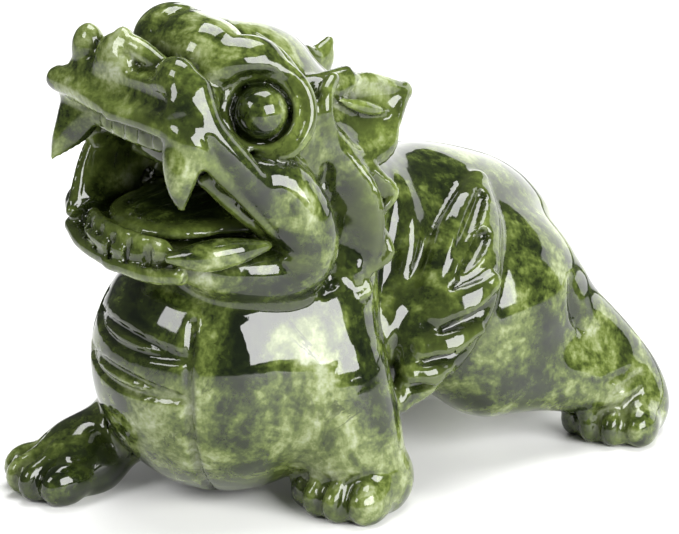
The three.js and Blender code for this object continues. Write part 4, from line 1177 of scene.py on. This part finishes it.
@dataclass(frozen=True)
class JadeFinish:
    """Polished jade: mottled greens, pale cotton and dark patches with painted shade and painted light among
    them, thin edges paler as painted light through the stone, and hollows darker as painted shade.
    """

    shades: tuple[tuple[float, Vec], ...] = (
        (0.28, (0.005, 0.008, 0.003)),
        (0.41, (0.016, 0.024, 0.005)),
        (0.50, (0.044, 0.062, 0.012)),
        (0.58, (0.096, 0.126, 0.028)),
        (0.67, (0.188, 0.224, 0.088)),
        (0.82, (0.350, 0.385, 0.260)),
    )
    layers: tuple[tuple[float, float, float], ...] = (
        (20.0, 1.2, 0.44), (7.0, 0.8, 0.26), (2.6, 0.4, 0.18), (0.9, 0.0, 0.12))
    patches: tuple[ToneAndShadePatch, ...] = (
        # Some of these are paler and darker patches of the stone itself; the pale one on the cheek is painted
        # light, and the dark ones over the mane and in the hollow between mane and wing are painted shade.
        ToneAndShadePatch((25, -23, 30), 9, 0.10),
        ToneAndShadePatch((27, 18, 23), 8, 0.16),
        ToneAndShadePatch((28, 38, 16), 12, 0.12),
        ToneAndShadePatch((31, 43, 7), 9, 0.10),
        ToneAndShadePatch((8, -46, 16), 11, 0.06),
        ToneAndShadePatch((16, -39, 45), 8, 0.10),
        ToneAndShadePatch((3, -49, 50), 7, 0.07),
        # painted light: brightens the cheek
        ToneAndShadePatch((24, -29, 57), 7, 0.11),
        ToneAndShadePatch((20, -46, 68), 7, 0.06),
        # painted shade: darkens the mane
        ToneAndShadePatch((22, -13, 50), 10, -0.20),
        ToneAndShadePatch((21, -16, 42), 8, -0.12),
        # painted shade: darkens the hollow between mane and wing
        ToneAndShadePatch((18, -3, 38), 7, -0.20),
        ToneAndShadePatch((15, 3, 47), 6, -0.12),
        ToneAndShadePatch((4, -45, 37), 11, -0.10),
        ToneAndShadePatch((26, 15, 32), 6, -0.16),
        ToneAndShadePatch((10, 8, 53), 16, -0.08),
        ToneAndShadePatch((-14, -50, 8), 13, -0.08),
        ToneAndShadePatch((22, -31, 27), 7, -0.08),
        ToneAndShadePatch((26, 37, 6), 6, -0.10),
        ToneAndShadePatch((0, -32, 58), 12, -0.14),
    )
    patch_core: float = 0.2
    # painted light: the pale colour of light shining through thin stone at edges
    thin: Vec = (0.19, 0.25, 0.05)
    painted_glow_share: float = 0.3
    # colour of the dark veins, and of painted shade in hollows
    vein_and_shade_colour: Vec = (0.006, 0.010, 0.002)
    painted_shade_share: float = 0.75
    warp_size: float = 9.0
    warp_reach: float = 10.0
    vein_size: float = 26.0
    vein_half: float = 0.03
    vein_share: float = 0.6
    polish: tuple[float, float] = (0.03, 0.08)
    refraction: float = 1.54
    ripple_size: float = 7.0
    ripple_height: float = 0.00005

    def cloud_group(self) -> bpy.types.NodeTree:
        """A node group that turns noise of a given size into a soft mask between a low and a high value."""
        tree = bpy.data.node_groups.new("stone_cloud", "ShaderNodeTree")
        for name, kind in (("Vector", "Vector"), ("Scale", "Float"), ("Detail", "Float"), ("Twist", "Float"),
                           ("Low", "Float"), ("High", "Float")):
            tree.interface.new_socket(name, in_out="INPUT", socket_type=f"NodeSocket{kind}")
        tree.interface.new_socket("Mask", in_out="OUTPUT", socket_type="NodeSocketFloat")
        start = tree.nodes.new("NodeGroupInput")
        end = tree.nodes.new("NodeGroupOutput")
        noise = tree.nodes.new("ShaderNodeTexNoise")
        noise.inputs["Roughness"].default_value = 0.6
        ramp = tree.nodes.new("ShaderNodeMapRange")
        ramp.interpolation_type = "SMOOTHSTEP"
        fed = (("Vector", "Vector"), ("Scale", "Scale"), ("Detail", "Detail"), ("Twist", "Distortion"))
        for name, socket in fed:
            tree.links.new(start.outputs[name], noise.inputs[socket])
        tree.links.new(noise.outputs["Fac"], ramp.inputs["Value"])
        tree.links.new(start.outputs["Low"], ramp.inputs["From Min"])
        tree.links.new(start.outputs["High"], ramp.inputs["From Max"])
        tree.links.new(ramp.outputs["Result"], end.inputs["Mask"])
        return tree

    def tone_and_shade_group(self) -> bpy.types.NodeTree:
        """A node group for how much paler or darker the colour runs, the stone's own tone and painted shade
        and light together: each patch fades out at its radius.
        """
        tree = bpy.data.node_groups.new("stone_tone_and_shade", "ShaderNodeTree")
        tree.interface.new_socket("Vector", in_out="INPUT", socket_type="NodeSocketVector")
        tree.interface.new_socket("Shift", in_out="OUTPUT", socket_type="NodeSocketFloat")
        start = tree.nodes.new("NodeGroupInput")
        end = tree.nodes.new("NodeGroupOutput")
        noise = tree.nodes.new("ShaderNodeTexNoise")
        noise.inputs["Scale"].default_value = 1 / (self.warp_size * MM)
        noise.inputs["Detail"].default_value = 4
        tree.links.new(start.outputs["Vector"], noise.inputs["Vector"])
        centred = tree.nodes.new("ShaderNodeVectorMath")
        centred.operation = "SUBTRACT"
        centred.inputs[1].default_value = (0.5, 0.5, 0.5)
        tree.links.new(noise.outputs["Color"], centred.inputs[0])
        warped = tree.nodes.new("ShaderNodeVectorMath")
        warped.operation = "MULTIPLY_ADD"
        warped.inputs[1].default_value = (self.warp_reach * MM,) * 3
        tree.links.new(centred.outputs[0], warped.inputs[0])
        tree.links.new(start.outputs["Vector"], warped.inputs[2])
        total = None
        for patch in self.patches:
            away = tree.nodes.new("ShaderNodeVectorMath")
            away.operation = "DISTANCE"
            away.inputs[1].default_value = tuple(value * MM for value in patch.centre)
            tree.links.new(warped.outputs[0], away.inputs[0])
            fade = tree.nodes.new("ShaderNodeMapRange")
            fade.interpolation_type = "SMOOTHSTEP"
            fade.inputs["From Min"].default_value = patch.radius * MM
            fade.inputs["From Max"].default_value = self.patch_core * patch.radius * MM
            fade.inputs["To Max"].default_value = patch.weight
            tree.links.new(away.outputs["Value"], fade.inputs["Value"])
            if total is None:
                total = fade.outputs["Result"]
                continue
            both = tree.nodes.new("ShaderNodeMath")
            tree.links.new(total, both.inputs[0])
            tree.links.new(fade.outputs["Result"], both.inputs[1])
            total = both.outputs[0]
        tree.links.new(total, end.inputs["Shift"])
        return tree

    def material(self) -> bpy.types.Material:
        """The finish as a material that reads Object coordinates and the carving's own attributes."""
        material = bpy.data.materials.new("polished_jade")
        material.use_nodes = True
        tree = material.node_tree
        shader = tree.nodes["Principled BSDF"]
        place = tree.nodes.new("ShaderNodeTexCoord")
        group = self.cloud_group()

        def cloud(size: float, detail: float, twist: float, low: float, high: float) -> bpy.types.NodeSocket:
            """A mask from the cloud group, with its size in millimetres."""
            node = tree.nodes.new("ShaderNodeGroup")
            node.node_tree = group
            values = {"Scale": 1 / (size * MM), "Detail": detail, "Twist": twist, "Low": low, "High": high}
            for name, value in values.items():
                node.inputs[name].default_value = value
            tree.links.new(place.outputs["Object"], node.inputs["Vector"])
            return node.outputs["Mask"]

        def maths(operation: str, *values: bpy.types.NodeSocket | float) -> bpy.types.NodeSocket:
            """The result of a sum on values, each a socket or a number."""
            node = tree.nodes.new("ShaderNodeMath")
            node.operation = operation
            for i, value in enumerate(values):
                if isinstance(value, float):
                    node.inputs[i].default_value = value
                else:
                    tree.links.new(value, node.inputs[i])
            return node.outputs[0]

        def mixed(mask: bpy.types.NodeSocket, under: bpy.types.NodeSocket, over: Vec) -> bpy.types.NodeSocket:
            """A colour laid over another where a mask is 1."""
            node = tree.nodes.new("ShaderNodeMix")
            node.data_type = "RGBA"
            tree.links.new(mask, node.inputs[0])
            tree.links.new(under, node.inputs[6])
            node.inputs[7].default_value = (*over, 1)
            return node.outputs[2]

        def carved(name: str) -> bpy.types.NodeSocket:
            """One of the carving's attributes."""
            node = tree.nodes.new("ShaderNodeAttribute")
            node.attribute_name = name
            return node.outputs["Fac"]

        # the stone's own tone together with painted shade and painted light
        patches = tree.nodes.new("ShaderNodeGroup")
        patches.node_tree = self.tone_and_shade_group()
        tree.links.new(place.outputs["Object"], patches.inputs["Vector"])
        shade = patches.outputs["Shift"]
        for size, twist, weight in self.layers:
            shade = maths("MULTIPLY_ADD", cloud(size, 5, twist, 0.2, 0.8), weight, shade)
        ramp = tree.nodes.new("ShaderNodeValToRGB")
        stops = ramp.color_ramp.elements
        while len(stops) < len(self.shades):
            stops.new(0.5)
        for stop, (position, colour) in zip(stops, self.shades):
            stop.position = position
            stop.color = (*colour, 1)
        tree.links.new(shade, ramp.inputs["Fac"])
        # painted light: thin edges are mixed towards a pale colour as if lit through
        colour = mixed(maths("MULTIPLY", carved("thin"), self.painted_glow_share), ramp.outputs["Color"], self.thin)
        # painted shade: hollows are darkened where stone stands over the surface
        colour = mixed(maths("MULTIPLY", carved("hollow"), self.painted_shade_share), colour, self.vein_and_shade_colour)
        vein = maths("COMPARE", cloud(self.vein_size, 6, 1.6, 0.3, 0.7), 0.5, self.vein_half)
        vein = maths("MULTIPLY", vein, cloud(self.vein_size * 0.6, 2, 0, 0.5, 0.7))
        colour = mixed(maths("MULTIPLY", vein, self.vein_share), colour, self.vein_and_shade_colour)
        tree.links.new(colour, shader.inputs["Base Color"])
        polish = tree.nodes.new("ShaderNodeMapRange")
        tree.links.new(cloud(self.ripple_size, 4, 0.3, 0.3, 0.7), polish.inputs["Value"])
        polish.inputs["To Min"].default_value, polish.inputs["To Max"].default_value = self.polish
        tree.links.new(polish.outputs["Result"], shader.inputs["Roughness"])
        bump = tree.nodes.new("ShaderNodeBump")
        bump.inputs["Strength"].default_value = 0.5
        bump.inputs["Distance"].default_value = self.ripple_height
        tree.links.new(cloud(self.ripple_size, 2, 0, 0.2, 0.8), bump.inputs["Height"])
        tree.links.new(bump.outputs["Normal"], shader.inputs["Normal"])
        shader.inputs["IOR"].default_value = self.refraction
        return material


@dataclass
class Statue:
    """The whole carving: its sub-assemblies, the grid it is drawn on and its finish."""

    finish: JadeFinish = field(default_factory=JadeFinish)
    fine: float = 0.68
    coarse: float = 1.15
    x_stops: tuple[float, ...] = (-40, 40)
    y_stops: tuple[float, ...] = (-56, 38, 84)
    z_stops: tuple[float, ...] = (-3, 14, 94)
    probe: float = 2.0

    def stone(self) -> Stone:
        """The stone with all strokes laid in order."""
        stone = Stone()
        trunk = Trunk()
        pose = HeadPose()
        head = (Skull(pose), Mouth(pose), Nose(pose), Eyes(pose), Ears(pose), Mane(pose))
        parts = (trunk, Legs(), Tail(), *head, Wings(), ChestBands(trunk))
        for part in parts:
            part.carve(stone)
            log.info("%s laid, %d strokes so far", type(part).__name__, len(stone.strokes))
        stone.put(Ground(), Way.CUT, 0.3)
        return stone

    def axes(self) -> list[Array]:
        """Grid lines: fine across and over the head, coarser behind it and below."""
        stretches = (
            ((*self.x_stops,), (self.fine + 0.06,)),
            ((*self.y_stops,), (self.fine, self.coarse)),
            ((*self.z_stops,), (self.coarse, self.fine)),
        )
        axes = []
        for stops, steps in stretches:
            lines = [np.arange(a, b, s) for a, b, s in zip(stops[:-1], stops[1:], steps)]
            axes.append(np.concatenate(lines))
        return axes

    def build(self) -> tuple[bpy.types.Object, Array]:
        """Draws the stone's skin and puts its box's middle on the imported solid's, soles at the solid's foot.

        Returns:
            The statue, and the shift in metres from the carving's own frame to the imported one.
        """
        stone = self.stone()
        axes = self.axes()
        points, quads = largest_shell(*Skin().draw(axes, stone.depth_on(axes)))
        points = settled(stone, points)
        slope = stone.slope_at(points)
        normals = slope / np.maximum(np.linalg.norm(slope, axis=1, keepdims=True), 1e-6)
        below = stone.depth_at(points - self.probe * normals)
        above = stone.depth_at(points + self.probe * normals)
        # how little stone lies just under the surface, which sets painted light at thin edges
        thin = np.clip((below + self.probe) / self.probe, 0, 1)
        # how much stone stands just over the surface, which sets painted shade in creases and recesses
        hollow = np.clip((self.probe - above) / self.probe, 0, 1)
        low, high = (np.array(corner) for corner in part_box(NODE))
        shift = (low + high) / 2 - MM * (points.min(axis=0) + points.max(axis=0)) / 2
        shift[2] = low[2] - MM * points[:, 2].min()
        mesh = bpy.data.meshes.new("carved_pixiu")
        mesh.from_pydata(points * MM + shift, [], quads)
        mesh.polygons.foreach_set("use_smooth", np.ones(len(quads), bool))
        for name, values in (("thin", thin), ("hollow", hollow)):
            mesh.attributes.new(name, "FLOAT", "POINT").data.foreach_set("value", values.astype(np.float32))
        mesh.update()
        piece = bpy.data.objects.new("carved_pixiu", mesh)
        bpy.context.collection.objects.link(piece)
        log.info("statue drawn with %d points and %d faces", len(points), len(quads))
        return piece, shift

    def dress(self, piece: bpy.types.Object) -> None:
        """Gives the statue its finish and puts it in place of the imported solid."""
        piece.data.materials.append(self.finish.material())
        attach(piece, BODY)
        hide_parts(NODE)


@dataclass
class Studio:
    """A pale floor, soft boxes and the camera, with places in the carving's own frame in millimetres."""

    azimuth: float = 50.0
    elevation: float = 21.0
    distance: float = 480.0
    pixels_per_mm: float = 5.56
    origin_pixel: tuple[float, float] = (281.3, 468.5)
    sensor: float = 36.0
    floor_half: float = 4.0
    floor_colour: Vec = (0.92, 0.92, 0.91)
    world_colour: Vec = (0.80, 0.82, 0.84)
    world_strength: float = 0.14

    def ways(self) -> tuple[Array, Array, Array]:
        """Unit vectors to the right, upward and back of the camera when it looks at the origin."""
        a, e = math.radians(self.azimuth), math.radians(self.elevation)
        back = np.array([math.sin(a) * math.cos(e), -math.cos(a) * math.cos(e), math.sin(e)])
        right = np.array([math.cos(a), math.sin(a), 0.0])
        return right, np.cross(back, right), back

    def camera(self, shift: Array) -> None:
        """Sets the camera at the photograph's angle: its ray leans so that the origin falls on its pixel."""
        right, upward, back = self.ways()
        reach = self.pixels_per_mm * self.distance
        lean_x = (IMAGE_SIZE[0] / 2 - self.origin_pixel[0]) / reach
        lean_y = (self.origin_pixel[1] - IMAGE_SIZE[1] / 2) / reach
        ray = Vector(-back + right * lean_x + upward * lean_y)
        data = bpy.data.cameras.new("camera")
        data.sensor_fit = "HORIZONTAL"
        data.sensor_width = self.sensor
        data.lens = reach / IMAGE_SIZE[0] * self.sensor
        data.clip_start, data.clip_end = 0.01, 50.0
        camera = bpy.data.objects.new("camera", data)
        camera.location = Vector(back * self.distance * MM + shift)
        camera.rotation_euler = ray.to_track_quat("-Z", "Y").to_euler()
        bpy.context.collection.objects.link(camera)
        bpy.context.scene.camera = camera

    def floor(self) -> None:
        """A wide flat floor of one pale colour."""
        half = self.floor_half
        corners = np.array([(-half, -half, 0), (half, -half, 0), (half, half, 0), (-half, half, 0)])
        mesh = bpy.data.meshes.new("studio_floor")
        mesh.from_pydata(corners, [], [(0, 1, 2, 3)])
        material = bpy.data.materials.new("studio_paper")
        material.use_nodes = True
        shader = material.node_tree.nodes["Principled BSDF"]
        shader.inputs["Base Color"].default_value = (*self.floor_colour, 1)
        shader.inputs["Roughness"].default_value = 0.6
        mesh.materials.append(material)
        floor = bpy.data.objects.new("studio_floor", mesh)
        bpy.context.collection.objects.link(floor)

    def softbox(self, name: str, place: Vec, aim: Vec, size: tuple[float, float], power: float) -> None:
        """A rectangular soft box.

        Args:
            name: its name.
            place: where it hangs, in metres.
            aim: the point that it faces.
            size: its width and height in metres.
            power: its power in watts.
        """
        data = bpy.data.lights.new(name, "AREA")
        data.shape = "RECTANGLE"
        data.size, data.size_y = size
        data.energy = power
        light = bpy.data.objects.new(name, data)
        light.location = place
        light.rotation_euler = (Vector(aim) - Vector(place)).to_track_quat("-Z", "Y").to_euler()
        bpy.context.collection.objects.link(light)

    def lights(self) -> None:
        """Hangs the soft boxes and sets a dim grey surround."""
        middle = (0.0, 0.0, 0.04)
        self.softbox("top_box", (-0.10, 0.20, 1.00), middle, (0.7, 0.6), 11.5)
        self.softbox("side_box", (0.93, 0.03, 0.42), middle, (0.75, 0.6), 17.0)
        self.softbox("back_box", (-0.25, 1.30, 0.42), middle, (2.2, 0.75), 14.0)
        self.softbox("front_box", (-0.07, -0.76, 0.64), middle, (0.35, 0.35), 3.5)
        world = bpy.data.worlds.new("studio")
        world.use_nodes = True
        background = world.node_tree.nodes["Background"]
        background.inputs["Color"].default_value = (*self.world_colour, 1)
        background.inputs["Strength"].default_value = self.world_strength
        bpy.context.scene.world = world
        bpy.context.scene.view_settings.view_transform = "Standard"


def main() -> None:
    """Builds the statue, dresses it and sets up the studio."""
    logging.basicConfig(level=logging.INFO, format="%(message)s")
    statue = Statue()
    piece, shift = statue.build()
    statue.dress(piece)
    studio = Studio()
    studio.floor()
    studio.lights()
    studio.camera(shift)


if __name__ == "__main__":
    main()
